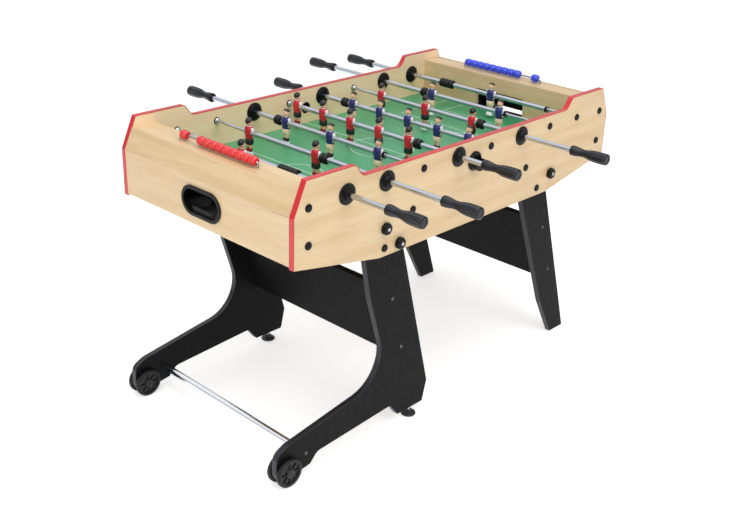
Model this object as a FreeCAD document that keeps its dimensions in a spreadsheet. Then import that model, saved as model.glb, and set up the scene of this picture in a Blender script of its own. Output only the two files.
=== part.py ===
"""Folding foosball table: wood cabinet, black folding legs, eight telescopic rods with players."""
import FreeCAD, Part
import math
import os
from FreeCAD import Rotation, Vector

# Driving dimensions, in millimetres: alias, value, what it is.
# X runs along the table, the near end at -X; Y runs across it, the front side at -Y; the floor is z = 0.
DIMENSIONS = [
    ("cab_length", 1210, "cabinet, end to end at its widest line"),
    ("cab_width", 624, "cabinet, outside to outside of the long side panels"),
    ("pivot_height", 535, "floor to the pivot bolts that the legs turn on"),
    ("panel_thick", 15, "long side panel"),
    ("trim_thick", 2, "red edge strip"),
    ("belly_drop", 21, "pivot down to the cabinet's flat lower edge"),
    ("end_rise", 50, "lower edge, from its flat middle up to the end"),
    ("crease_rise", 170, "flat lower edge up to the end's widest line"),
    ("low_rail_rise", 219, "flat lower edge up to the low middle of the top edge"),
    ("corner_rise", 249, "flat lower edge up to the raised ends of the top edge"),
    ("corner_inset", 35, "end line in to the top corner"),
    ("raised_end", 185, "end line in to the foot of the raised end"),
    ("rail_step", 22, "length of the slope from the raised end to the low rail"),
    ("belly_inset", 270, "end line in to the flat part of the lower edge"),
    ("field_rise", 119, "flat lower edge up to the playing surface"),
    ("field_thick", 4, "playing field board"),
    ("end_depth", 93, "end line in to the face of the goal wall"),
    ("goal_wall_thick", 12, "goal wall"),
    ("goal_width", 172, "goal mouth"),
    ("goal_height", 57, "goal mouth"),
    ("end_board_thick", 15, "vertical board at each end"),
    ("end_board_gap", 5, "end of the side panel down from the end board's lower edge"),
    ("ledge_drop", 26, "top corner down to the ledge that carries the scorer"),
    ("ledge_thick", 12, "ledge and sloping board"),
    ("batten_wide", 30, "batten under the field"),
    ("batten_deep", 30, "batten under the field"),
    ("batten_place", 225, "middle of the table to each batten"),
    ("batten_bolt_rise", 93, "flat lower edge up to the bolts of the battens"),
    ("end_bolt_in", 42, "end line in to the bolts of the corner posts"),
    ("end_bolt_low", 98, "flat lower edge up to the lower bolts of the corner posts"),
    ("end_bolt_high", 185, "flat lower edge up to the upper bolts of the corner posts"),
    ("corner_post", 24, "corner post behind each end board"),
    ("rod_rise", 188, "flat lower edge up to the rods"),
    ("tube_radius", 6.5, "player rod tube"),
    ("tube_bore", 5, "inside radius of the player rod tube"),
    ("guide_radius", 4, "inner guide rod"),
    ("guide_reach", 100, "guide rod, past the middle of the table"),
    ("slide_gap", 0.08, "radial running clearance of the rods"),
    ("flange_radius", 25, "rod bearing flange"),
    ("flange_thick", 7, "rod bearing flange, on the inside"),
    ("hub_out", 12, "rod bearing hub, on the outside"),
    ("sleeve_radius", 10, "rod bearing sleeve in the panel"),
    ("collar_radius", 8, "collar of the guide rod at its wall"),
    ("collar_long", 8, "collar of the guide rod at its wall"),
    ("stop_gap", 0.5, "rod stops short of its bearing or collar by this"),
    ("bumper_radius", 13, "rubber bumper"),
    ("grip_long", 103, "handle grip"),
    ("grip_radius", 15, "handle grip"),
    ("grip_bore", 90, "depth of the tube in the grip"),
    ("player_up", 36, "rod up to the top of a player's head"),
    ("player_down", 60.5, "rod down to a player's sole"),
    ("player_wide", 29, "player's body"),
    ("head_radius", 9.5, "player's head"),
    ("five_play", 181, "inside width left over by five players in a row"),
    ("three_play", 261, "inside width left over by three players in a row"),
    ("two_play", 348, "inside width left over by two players in a row"),
    ("scorer_long", 276, "scorer wire, free length"),
    ("scorer_in", 36, "goal wall's face out to the scorer wire"),
    ("near_scorer_shift", 7, "middle of the near scorer toward the back"),
    ("far_scorer_shift", 26, "middle of the far scorer toward the back"),
    ("bead_radius", 11.5, "scorer bead"),
    ("bead_pitch", 23, "scorer bead length"),
    ("scorer_rise", 14, "ledge up to the scorer wire"),
    ("wire_radius", 2.5, "scorer wire"),
    ("cup_wide", 143, "flange of the ball return cup"),
    ("cup_high", 74, "flange of the ball return cup"),
    ("cup_lip", 6, "flange of the ball return cup, around its mouth"),
    ("cup_wall", 3, "wall of the ball return cup"),
    ("cup_rise", 114, "flat lower edge up to the middle of the return cup"),
    ("cup_drop", 46, "open part of the return cup's roof, under the goal mouth"),
    ("cup_guard", 21, "plate that hangs from the return cup's roof"),
    ("cup_sill", 14, "sill in the return cup's mouth"),
    ("catch_wide", 182, "black box that catches the ball behind the goal mouth"),
    ("entry_rise", 163, "flat lower edge up to the ball entry"),
    ("entry_radius", 25, "flange of the ball entry"),
    ("entry_out", 20, "ball entry bowl, out from the panel"),
    ("entry_bore", 14.8, "bore of the ball entry"),
    ("entry_sleeve", 16.2, "sleeve of the ball entry in the panel"),
    ("leg_thick", 16, "leg board"),
    ("near_leg_gap", 9, "side panel to the near legs"),
    ("far_leg_gap", 27, "side panel to the far legs"),
    ("near_pivot_in", 286, "end line in to the near pivot"),
    ("far_pivot_in", 319, "end line in to the far pivot"),
    ("near_leg_top", 77, "near pivot up to the top of the near legs"),
    ("far_leg_top", 55, "far pivot up to the top of the far legs"),
    ("lock_reach", 50, "near pivot to each of its lock bolts"),
    ("far_lock_along", 56, "far pivot along to its lock bolt"),
    ("far_lock_rise", 30, "far pivot up to its lock bolt"),
    ("pivot_radius", 4, "pivot and lock bolt shanks"),
    ("pivot_gap", 0.08, "radial running clearance of the pivots"),
    ("wheel_radius", 37, "transport wheel"),
    ("wheel_thick", 13, "transport wheel"),
    ("axle_reach", 283, "near pivot out to the wheel axle"),
    ("axle_radius", 5, "wheel axle"),
    ("leveler_radius", 20, "leveler disc"),
    ("leveler_reach", 156, "near pivot back to the levelers"),
    ("sole_height", 24, "floor up to the sole of the near legs"),
    ("screw_radius", 4, "leveler screw"),
    ("screw_long", 30, "leveler screw, in the leg"),
    ("cross_thick", 15, "cross panels between the legs"),
    ("rail_radius", 9.5, "chrome foot rail"),
    ("rail_reach", 222, "near pivot out to the foot rail"),
    ("rail_height", 59, "floor up to the foot rail"),
    ("cap_radius", 9.5, "bolt cap"),
    ("cap_thick", 4, "bolt cap"),
    ("shank_radius", 3, "panel bolt"),
]

# The eight rods from the near end: grip side, players, rest shift, free slide outward and inward,
# slack between grip and hub when pushed fully in, bumper length.
RODS = [
    (-1, 1, -42, 135, 40, 68, 60),
    (-1, 2, -43, 169, 107, 47, 21),
    (1, 3, 1.5, 83, 98, 51, 21),
    (-1, 5, -56.6, 98, 6, 58, 21),
    (1, 5, -33.7, 77, 14, 51, 21),
    (-1, 3, -16.5, 100, 90, 52, 21),
    (1, 2, -21.4, 150, 118, 64, 21),
    (1, 1, -16, 114, 71, 67, 50),
]

D = {alias: value for alias, value, note in DIMENSIONS}
doc = FreeCAD.newDocument("foosball_table")
nodes = {}


# ---- sheet and derived places --------------------------------------------------------------------

def write_sheet():
    """Put every driving dimension into the spreadsheet under its alias."""
    sheet = doc.addObject("Spreadsheet::Sheet", "dims")
    for row, (alias, value, note) in enumerate(DIMENSIONS, start=1):
        sheet.set("A%d" % row, alias)
        sheet.set("B%d" % row, str(value))
        sheet.set("C%d" % row, note)
        sheet.setAlias("B%d" % row, alias)
    doc.recompute()


HALF_LENGTH = D["cab_length"] / 2
HALF_WIDTH = D["cab_width"] / 2
INSIDE = HALF_WIDTH - D["panel_thick"]
BELLY_Z = D["pivot_height"] - D["belly_drop"]
END_LOW_Z = BELLY_Z + D["end_rise"]
CREASE_Z = BELLY_Z + D["crease_rise"]
TOP_Z = BELLY_Z + D["corner_rise"]
LEDGE_Z = TOP_Z - D["ledge_drop"]
FIELD_Z = BELLY_Z + D["field_rise"]
FIELD_HALF = HALF_LENGTH - D["end_depth"]
GOAL_BACK = FIELD_HALF + D["goal_wall_thick"]
BOARD_BACK = HALF_LENGTH - D["end_board_thick"]
ROD_Z = BELLY_Z + D["rod_rise"]
ROD_PITCH = FIELD_HALF / 4
ROD_X = [(index - 3.5) * ROD_PITCH for index in range(len(RODS))]
HUB_FACE = HALF_WIDTH + D["hub_out"]
STOP_FACE = INSIDE - D["flange_thick"]
COLLAR_FACE = INSIDE - D["collar_long"]
NEAR_X = -HALF_LENGTH + D["near_pivot_in"]
FAR_X = HALF_LENGTH - D["far_pivot_in"]
PIVOT_Z = D["pivot_height"]
NEAR_LEG_OUT = INSIDE - D["near_leg_gap"]
NEAR_LEG_IN = NEAR_LEG_OUT - D["leg_thick"]
FAR_LEG_OUT = INSIDE - D["far_leg_gap"]
FAR_LEG_IN = FAR_LEG_OUT - D["leg_thick"]
AXLE_X = NEAR_X - D["axle_reach"]
SCORER_X = FIELD_HALF + D["scorer_in"]
SCORER_Z = LEDGE_Z + D["scorer_rise"]


def slope_x(height):
    """X of the end slope at a height above the floor."""
    share = (height - CREASE_Z) / (TOP_Z - CREASE_Z)
    return HALF_LENGTH - D["corner_inset"] * share


def rod_layout(rod):
    """Places along one rod, measured toward its grip: players, bumper, tube end and grip."""
    side, count, shift, out, inward, slack, bumper = rod
    play = {5: D["five_play"], 3: D["three_play"], 2: D["two_play"], 1: 0}[count]
    pitch = (2 * INSIDE - play) / (count - 1) if count > 1 else 0
    first = shift - pitch * (count - 1) / 2
    return {
        "side": side,
        "players": [first + pitch * index for index in range(count)],
        "bumper_end": STOP_FACE - D["stop_gap"] - out,
        "bumper_long": bumper,
        "tail": -(COLLAR_FACE - D["stop_gap"] - inward),
        "grip": HUB_FACE + D["stop_gap"] + slack + inward,
    }


LAYOUTS = [rod_layout(rod) for rod in RODS]


# ---- helpers ----------------------------------------------------------------------------------------

def give(item, prop, value):
    """Bind a property to a sheet alias, or set it where the value is worked out here."""
    if isinstance(value, str):
        item.setExpression(prop, "dims." + value)
    else:
        setattr(item, prop, value)


def box(name, sizes, low):
    """A box from its three sizes and its low corner."""
    item = doc.addObject("Part::Box", name)
    for prop, value in zip(("Length", "Width", "Height"), sizes):
        give(item, prop, value)
    item.Placement.Base = Vector(*low)
    return item


def rod(name, radius, length, start, axis="y"):
    """A cylinder that starts at a point and runs toward +X, +Y or +Z."""
    turns = {"x": Rotation(Vector(0, 1, 0), 90), "y": Rotation(Vector(1, 0, 0), -90), "z": Rotation()}
    item = doc.addObject("Part::Cylinder", name)
    give(item, "Radius", radius)
    give(item, "Height", length)
    item.Placement = FreeCAD.Placement(Vector(*start), turns[axis])
    return item


def cut(name, base, *tools):
    """A base with one or more tools taken away."""
    item = doc.addObject("Part::Cut", name)
    item.Base = base
    item.Tool = tools[0] if len(tools) == 1 else fuse(name + "_tools", *tools)
    return item


def fuse(name, *parts):
    """Several shapes joined into one."""
    item = doc.addObject("Part::MultiFuse", name)
    item.Shapes = list(parts)
    return item


def round_outline(points):
    """Lines and arcs around a closed outline of (x, y, corner radius) points, counter-clockwise."""
    corners = []
    count = len(points)
    for index, (x, y, radius) in enumerate(points):
        here = Vector(x, y, 0)
        before = (Vector(*points[index - 1][:2], 0) - here).normalize()
        after = (Vector(*points[(index + 1) % count][:2], 0) - here).normalize()
        if radius <= 0:
            corners.append((here, here, None))
            continue
        half = before.getAngle(after) / 2
        reach = radius / math.tan(half)
        middle = here + (before + after).normalize() * (radius / math.sin(half))
        corners.append((here + before * reach, here + after * reach, (middle, radius)))
    edges = []
    for index, (start, end, arc) in enumerate(corners):
        if arc:
            middle, radius = arc
            left = (start - middle).cross(end - middle).z > 0
            first, last = (start, end) if left else (end, start)
            angles = [math.atan2(point.y - middle.y, point.x - middle.x) for point in (first, last)]
            circle = Part.Circle(middle, Vector(0, 0, 1), radius)
            edges.append(Part.ArcOfCircle(circle, angles[0], angles[1]))
        following = corners[(index + 1) % count][0]
        if (following - end).Length > 1e-6:
            edges.append(Part.LineSegment(end, following))
    return edges


def sketch_in(body, role, name, geometry):
    """A sketch on one of the body's own origin planes."""
    sketch = body.newObject("Sketcher::SketchObject", name)
    plane = [item for item in body.Origin.OriginFeatures if item.Role == role][0]
    sketch.AttachmentSupport = [(plane, "")]
    sketch.MapMode = "FlatFace"
    for piece in geometry:
        sketch.addGeometry(piece, False)
    return sketch


def board(name, outline, thickness, place, holes=()):
    """A board in the XZ plane, padded evenly about y = 0, with round holes (x, z, radius)."""
    body = doc.addObject("PartDesign::Body", name)
    pad = body.newObject("PartDesign::Pad", name + "_pad")
    pad.Profile = sketch_in(body, "XZ_Plane", name + "_outline", round_outline(outline))
    pad.SideType = "Symmetric"
    give(pad, "Length", thickness)
    body.Tip = pad
    if holes:
        circles = [Part.Circle(Vector(x, z, 0), Vector(0, 0, 1), radius) for x, z, radius in holes]
        pocket = body.newObject("PartDesign::Pocket", name + "_holes")
        pocket.Profile = sketch_in(body, "XZ_Plane", name + "_hole_sketch", circles)
        pocket.SideType = "Symmetric"
        pocket.Length = 4 * pad.Length.Value if pad.Length.Value else 100
        body.Tip = pocket
    body.Placement.Base = Vector(*place)
    return body


def turned(name, profile, place, flip=False):
    """A turned piece about Y from (along, radius) points; flip points its +Y toward the front."""
    body = doc.addObject("PartDesign::Body", name)
    corners = [Vector(along, radius, 0) for along, radius in profile]
    lines = [Part.LineSegment(start, end) for start, end in zip(corners, corners[1:] + corners[:1])]
    spin = body.newObject("PartDesign::Revolution", name + "_turn")
    spin.Profile = sketch_in(body, "YZ_Plane", name + "_profile", lines)
    spin.ReferenceAxis = (spin.Profile[0], ["H_Axis"])
    spin.Angle = 360
    body.Tip = spin
    turn = Rotation(Vector(0, 0, 1), 180 if flip else 0)
    body.Placement = FreeCAD.Placement(Vector(*place), turn)
    return body


def node(name, *parts):
    """One sub-part of the table, as a compound of its separate solids."""
    item = doc.addObject("Part::Compound", name)
    item.Label = name
    item.Links = list(parts)
    nodes[name] = item


def mitre(points, depth):
    """An open outline moved inward, to the right of its direction, with its corners mitred."""
    lines = []
    for (x0, y0, _), (x1, y1, _) in zip(points, points[1:]):
        along = Vector(x1 - x0, y1 - y0, 0).normalize()
        inward = Vector(along.y, -along.x, 0) * depth
        lines.append((Vector(x0, y0, 0) + inward, Vector(x1, y1, 0) + inward, along))
    moved = [lines[0][0]]
    for (start, _, along), (other, _, heading) in zip(lines, lines[1:]):
        step = (other - start).cross(heading).z / along.cross(heading).z
        moved.append(start + along * step)
    moved.append(lines[-1][1])
    result = []
    for index, point in enumerate(moved):
        radius = points[index][2]
        if radius > 0:
            turn = lines[index - 1][2].cross(lines[index][2]).z
            radius = radius - depth if turn < 0 else radius + depth
        result.append((point.x, point.y, radius))
    return result


# ---- cabinet ----------------------------------------------------------------------------------------

def top_edge():
    """The side panel's edge from the near lower corner over the top to the far one, (x, z, radius)."""
    corner = HALF_LENGTH - D["corner_inset"]
    raised = HALF_LENGTH - D["raised_end"]
    low = raised - D["rail_step"]
    low_z = BELLY_Z + D["low_rail_rise"]
    right = [(low, low_z, 22), (raised, TOP_Z, 14), (corner, TOP_Z, 3), (HALF_LENGTH, CREASE_Z, 3)]
    right.append((HALF_LENGTH, END_LOW_Z, 0))
    left = [(-x, z, radius) for x, z, radius in reversed(right)]
    return left + right


def panel_outline():
    """Side panel under its edge strip, counter-clockwise."""
    under = mitre(top_edge(), D["trim_thick"])
    flat = HALF_LENGTH - D["belly_inset"]
    lower = [(-flat, BELLY_Z, 40), (flat, BELLY_Z, 40)]
    return lower + list(reversed(under))


def bolt_places():
    """Panel bolts of one side: two into each corner post and one into each batten."""
    rises = (D["end_bolt_low"], D["end_bolt_high"])
    post_x = HALF_LENGTH - D["end_bolt_in"]
    places = [(end * post_x, BELLY_Z + rise) for end in (-1, 1) for rise in rises]
    places += [(end * D["batten_place"], BELLY_Z + D["batten_bolt_rise"]) for end in (-1, 1)]
    return places


def lock_places():
    """Lock bolts: two for a near leg, one for a far leg."""
    near = [(NEAR_X, PIVOT_Z + D["lock_reach"]), (NEAR_X + D["lock_reach"], PIVOT_Z)]
    return near + [(FAR_X + D["far_lock_along"], PIVOT_Z + D["far_lock_rise"])]


def pivot_places():
    """Middles of the near and the far pivot."""
    return [(NEAR_X, PIVOT_Z), (FAR_X, PIVOT_Z)]


def side_panels():
    """The two long side panels with their drilled holes."""
    for side, label in ((-1, "front"), (1, "back")):
        holes = [(x, z, D["shank_radius"]) for x, z in bolt_places()]
        holes += [(x, z, D["pivot_radius"]) for x, z in lock_places() + pivot_places()]
        holes.append((0, BELLY_Z + D["entry_rise"], D["entry_sleeve"]))
        for x, layout in zip(ROD_X, LAYOUTS):
            own = layout["side"] == side
            holes.append((x, ROD_Z, D["sleeve_radius"] if own else D["guide_radius"]))
        place = (0, side * (HALF_WIDTH - D["panel_thick"] / 2), 0)
        node("side_panel_" + label, board("panel_" + label, panel_outline(), "panel_thick", place, holes))


def edge_trims():
    """Red edge strips along the ends and the tops of the side panels."""
    outer = top_edge()
    strip = list(reversed(outer)) + mitre(outer, D["trim_thick"])
    parts = []
    for side in (-1, 1):
        place = (0, side * (HALF_WIDTH - D["panel_thick"] / 2), 0)
        parts.append(board("trim_%d" % (side + 2), strip, "panel_thick", place))
    node("edge_trims", *parts)


def stadium(name, width, height, start_x, depth, middle_z):
    """A block with round ends, lying across the table, from start_x toward +X."""
    radius = height / 2
    flat = width - height
    core = box(name + "_core", (depth, flat, height), (start_x, -flat / 2, middle_z - radius))
    ends = [rod(name + "_end%d" % (side + 2), radius, depth, (start_x, side * flat / 2, middle_z), "x")
            for side in (-1, 1)]
    return fuse(name, core, *ends)


def wedge(name, profile, width):
    """A prism across the table from an (x, z) profile."""
    outline = [(x, z, 0) for x, z in profile]
    return board(name, outline, width, (0, 0, 0))


def counter_clockwise(profile):
    """The same profile, turned around if it runs clockwise."""
    area = sum(x0 * z1 - x1 * z0 for (x0, z0), (x1, z1) in zip(profile, profile[1:] + profile[:1]))
    return profile if area > 0 else profile[::-1]


def end_boards():
    """Vertical board, sloping board, scorer ledge and two corner posts at both ends."""
    parts = []
    low = END_LOW_Z + D["end_board_gap"]
    thick = D["ledge_thick"]
    middle = BELLY_Z + D["cup_rise"]
    inner_wide = D["cup_wide"] - 2 * D["cup_lip"]
    inner_high = D["cup_high"] - 2 * D["cup_lip"]
    rise = CREASE_Z - low
    for end in (-1, 1):
        tag = "near" if end < 0 else "far"
        board_low = min(end * HALF_LENGTH, end * BOARD_BACK)
        plank = box("plank_" + tag, ("end_board_thick", 2 * INSIDE, rise), (board_low, -INSIDE, low))
        deep = D["end_board_thick"] + 2
        mouth = stadium("mouth_" + tag, inner_wide, inner_high, board_low - 1, deep, middle)
        parts.append(cut("end_board_" + tag, plank, mouth))
        slope = [(HALF_LENGTH, CREASE_Z), (slope_x(LEDGE_Z), LEDGE_Z), (slope_x(LEDGE_Z) - thick, LEDGE_Z),
                 (HALF_LENGTH - thick, CREASE_Z)]
        slope = counter_clockwise([(end * x, z) for x, z in slope])
        parts.append(wedge("slope_" + tag, slope, 2 * INSIDE))
        ledge_out = slope_x(LEDGE_Z) - thick
        ledge = [(ledge_out, LEDGE_Z), (FIELD_HALF, LEDGE_Z), (FIELD_HALF, LEDGE_Z - thick),
                 (slope_x(LEDGE_Z - thick) - thick, LEDGE_Z - thick)]
        ledge = counter_clockwise([(end * x, z) for x, z in ledge])
        parts.append(wedge("ledge_" + tag, ledge, 2 * INSIDE))
        post = D["corner_post"]
        post_x = end * (HALF_LENGTH - D["end_bolt_in"]) - post / 2
        for side in (-1, 1):
            post_y = min(side * INSIDE, side * (INSIDE - post))
            sizes = ("corner_post", "corner_post", LEDGE_Z - thick - low)
            parts.append(box("corner_%s_%d" % (tag, side + 2), sizes, (post_x, post_y, low)))
    node("end_boards", *parts)


def goal_walls():
    """Walls with the goal mouths, between the field and the ledges."""
    parts = []
    wall_high = LEDGE_Z - D["ledge_thick"] - FIELD_Z
    for end in (-1, 1):
        tag = "near" if end < 0 else "far"
        low_x = min(end * FIELD_HALF, end * GOAL_BACK)
        wall = box("goal_wall_" + tag, ("goal_wall_thick", 2 * INSIDE, wall_high), (low_x, -INSIDE, FIELD_Z))
        sizes = (D["goal_wall_thick"] + 2, D["goal_width"], D["goal_height"] + 1)
        mouth = box("goal_mouth_" + tag, sizes, (low_x - 1, -D["goal_width"] / 2, FIELD_Z - 1))
        parts.append(cut("goal_" + tag, wall, mouth))
    node("goal_walls", *parts)


def playfield():
    """Field board and the two battens glued under it."""
    thick = D["field_thick"]
    deep = D["batten_deep"]
    parts = [box("field", (2 * GOAL_BACK, 2 * INSIDE, "field_thick"), (-GOAL_BACK, -INSIDE, FIELD_Z - thick))]
    for side in (-1, 1):
        low = (side * D["batten_place"] - D["batten_wide"] / 2, -INSIDE, FIELD_Z - thick - deep)
        parts.append(box("batten_%d" % (side + 2), ("batten_wide", 2 * INSIDE, "batten_deep"), low))
    node("playfield", *parts)


def catch_box(name, end, back, roof):
    """Two sides, two floor strips and a back around a goal mouth, above the return cup."""
    wall = D["cup_wall"]
    half = D["catch_wide"] / 2
    top = LEDGE_Z - D["ledge_thick"]
    floor = BELLY_Z + D["cup_rise"] - wall
    strip = half - (D["cup_wide"] / 2 - D["cup_lip"] - wall)
    front = GOAL_BACK + 1
    low_x = min(end * front, end * (back + wall))
    back_x = min(end * back, end * (back + wall))
    pieces = [box(name + "_back", ("cup_wall", "catch_wide", top - roof), (back_x, -half, roof))]
    for side in (-1, 1):
        tag = "%s_%d" % (name, side + 2)
        side_y = min(side * half, side * (half - wall))
        strip_y = min(side * half, side * (half - strip))
        pieces.append(box(tag + "_side", (back + wall - front, "cup_wall", top - floor), (low_x, side_y, floor)))
        pieces.append(box(tag + "_strip", (back + wall - front, strip, "cup_wall"), (low_x, strip_y, floor)))
        pieces.append(box(tag + "_wing", ("cup_wall", strip, roof + 1 - floor), (back_x, strip_y, floor)))
    return pieces


def return_cups():
    """Black cups in the end boards that hand the ball back, open at the top under the goal mouth."""
    lip = D["cup_lip"]
    wall = D["cup_wall"]
    middle = BELLY_Z + D["cup_rise"]
    inner_wide = D["cup_wide"] - 2 * lip
    inner_high = D["cup_high"] - 2 * lip
    flange = 4
    depth = HALF_LENGTH - GOAL_BACK - 1
    parts = []
    for end in (-1, 1):
        tag = "near" if end < 0 else "far"
        name = "cup_" + tag
        flange_low = min(end * HALF_LENGTH, end * (HALF_LENGTH + flange))
        face = stadium(name + "_flange", D["cup_wide"], D["cup_high"], flange_low, flange, middle)
        shell_low = min(end * HALF_LENGTH, end * (HALF_LENGTH - depth))
        shell = stadium(name + "_shell", inner_wide, inner_high, shell_low, depth, middle)
        hollow_low = min(end * (HALF_LENGTH + flange + 1), end * (HALF_LENGTH - depth + wall))
        hollow = stadium(name + "_hollow", inner_wide - 2 * wall, inner_high - 2 * wall, hollow_low,
                         depth + flange + 1 - wall, middle)
        flat = inner_wide - inner_high
        drop_end = GOAL_BACK + D["cup_drop"]
        drop = box(name + "_drop", ("cup_drop", "cup_wide", inner_high),
                   (min(end * GOAL_BACK, end * drop_end), -D["cup_wide"] / 2, middle))
        opened = cut(name + "_open", fuse(name + "_whole", face, shell), hollow, drop)
        roof = middle + inner_high / 2 - wall / 2
        guard_x = min(end * drop_end, end * (drop_end + wall))
        guard = box(name + "_guard", ("cup_wall", inner_wide - 2 * wall, D["cup_guard"] + wall / 2),
                    (guard_x, -inner_wide / 2 + wall, roof - D["cup_guard"]))
        floor = middle - inner_high / 2 + wall / 2
        sill_x = HALF_LENGTH - 5
        sill = box(name + "_sill", ("cup_wall", flat + 6, D["cup_sill"] + wall / 2),
                   (min(end * sill_x, end * (sill_x + wall)), -flat / 2 - 3, floor))
        parts.append(fuse(name, opened, guard, sill, *catch_box(name, end, drop_end, roof)))
    node("return_cups", *parts)


def entry_cups():
    """Ball entry at the middle of each long side: a flanged spout with an open bowl outside."""
    z = BELLY_Z + D["entry_rise"]
    radius = D["entry_radius"]
    neck = radius - 4
    thick = D["panel_thick"]
    out = D["entry_out"]
    bore = D["entry_bore"]
    sleeve = D["entry_sleeve"]
    profile = [(-thick, bore), (-thick, sleeve), (0, sleeve), (0, radius), (3, radius), (5, neck),
               (out, neck), (out, neck - 2), (3, neck - 2), (3, bore)]
    parts = []
    for side in (-1, 1):
        spout = turned("entry_spout_%d" % (side + 2), profile, (0, side * HALF_WIDTH, z), side < 0)
        low_y = min(side * (HALF_WIDTH + 6), side * (HALF_WIDTH + out + 1))
        opening = box("entry_open_%d" % (side + 2), (2 * radius, out - 5, radius), (-radius, low_y, z + 4))
        bottom = rod("entry_floor_%d" % (side + 2), neck, 3,
                     (0, min(side * (HALF_WIDTH + out), side * (HALF_WIDTH + out + 3)), z))
        above = box("entry_above_%d" % (side + 2), (2 * radius, 5, radius),
                    (-radius, min(side * (HALF_WIDTH + out - 1), side * (HALF_WIDTH + out + 4)), z + 4))
        parts.append(cut("entry_cup_%d" % (side + 2), fuse("entry_%d" % (side + 2), spout, bottom),
                         opening, above))
    node("entry_cups", *parts)


def rod_bearings():
    """Flanged bearings of the tubes, one in the grip's side panel for each rod."""
    thick = D["panel_thick"]
    inner = -thick - D["flange_thick"]
    bore = D["tube_radius"] + D["slide_gap"]
    sleeve = D["sleeve_radius"]
    flange = D["flange_radius"]
    hub = D["hub_out"]
    profile = [(inner, bore), (inner, sleeve + 5), (-thick - 3, flange), (-thick, flange), (-thick, sleeve),
               (0, sleeve), (0, flange), (3, flange), (hub - 3, sleeve + 4), (hub, sleeve + 4), (hub, bore)]
    parts = []
    for index, (x, layout) in enumerate(zip(ROD_X, LAYOUTS), start=1):
        side = layout["side"]
        parts.append(turned("bearing_%d" % index, profile, (x, side * HALF_WIDTH, ROD_Z), side < 0))
    node("rod_bearings", *parts)


def guide_rods():
    """Inner rods of the telescopic rods, each fixed at the wall across from its grip."""
    radius = D["guide_radius"]
    collar = D["collar_radius"]
    start = -HALF_WIDTH
    face = -COLLAR_FACE
    profile = [(start, 0), (start, radius), (-INSIDE, radius), (-INSIDE, collar), (face, collar),
               (face, radius), (D["guide_reach"], radius), (D["guide_reach"], 0)]
    parts = []
    for index, (x, layout) in enumerate(zip(ROD_X, LAYOUTS), start=1):
        parts.append(turned("guide_%d" % index, profile, (x, 0, ROD_Z), layout["side"] < 0))
    node("guide_rods", *parts)


def bolt_caps():
    """Black caps of the panel bolts, and of the guide rods' fixings."""
    cap = D["cap_radius"]
    shank = D["shank_radius"]
    bolt = [(-D["panel_thick"], 0), (-D["panel_thick"], shank), (0, shank), (0, cap),
            (D["cap_thick"] - 1, cap), (D["cap_thick"], cap - 2), (D["cap_thick"], 0)]
    nut = [(0, 0), (0, cap), (D["cap_thick"] - 1, cap), (D["cap_thick"], cap - 2), (D["cap_thick"], 0)]
    parts = []
    for side in (-1, 1):
        for index, (x, z) in enumerate(bolt_places()):
            parts.append(turned("bolt_%d_%d" % (side + 2, index), bolt, (x, side * HALF_WIDTH, z), side < 0))
    for index, (x, layout) in enumerate(zip(ROD_X, LAYOUTS)):
        side = -layout["side"]
        parts.append(turned("nut_%d" % index, nut, (x, side * HALF_WIDTH, ROD_Z), side < 0))
    node("panel_bolts", *parts)


def pivot_bolts():
    """The four bolts that the legs turn on, each with a spacer between panel and leg."""
    shank = D["pivot_radius"]
    head = D["cap_radius"]
    thick = D["panel_thick"]
    parts = []
    for x, gap, label in ((NEAR_X, D["near_leg_gap"], "near"), (FAR_X, D["far_leg_gap"], "far")):
        leg_in = -thick - gap - D["leg_thick"]
        profile = [(leg_in - 6, 0), (leg_in - 6, 8), (leg_in - 0.3, 8), (leg_in - 0.3, shank),
                   (-thick - gap + 0.3, shank), (-thick - gap + 0.3, 11), (-thick, 11), (-thick, shank),
                   (0, shank), (0, head), (D["cap_thick"] - 1, head), (D["cap_thick"], head - 2),
                   (D["cap_thick"], 0)]
        for side in (-1, 1):
            parts.append(turned("pivot_%s_%d" % (label, side + 2), profile,
                                (x, side * HALF_WIDTH, PIVOT_Z), side < 0))
    return parts


def lock_knobs():
    """Black knobs with a steel pin that lock the legs; the pins stop just short of the legs."""
    shank = D["pivot_radius"]
    thick = D["panel_thick"]
    parts = []
    for index, (x, z) in enumerate(lock_places()):
        gap = D["far_leg_gap"] if index == 2 else D["near_leg_gap"]
        tip = -thick - gap + 1
        profile = [(tip, 0), (tip, shank), (0, shank), (0, 15), (9, 15), (12, 12), (12, 5), (14, 5), (14, 0)]
        for side in (-1, 1):
            parts.append(turned("lock_%d_%d" % (index, side + 2), profile,
                                (x, side * HALF_WIDTH, z), side < 0))
    return parts


# ---- scorers ----------------------------------------------------------------------------------------

def bead(name, end, along):
    """A turned bead on the scorer wire, its middle at a place along Y."""
    half = D["bead_pitch"] / 2 - 0.05
    radius = D["bead_radius"]
    bore = D["wire_radius"] + D["slide_gap"]
    profile = [(-half, bore), (-half, radius - 4), (-half + 5, radius), (half - 5, radius),
               (half, radius - 4), (half, bore)]
    return turned(name, profile, (end * SCORER_X, along, SCORER_Z))


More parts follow.
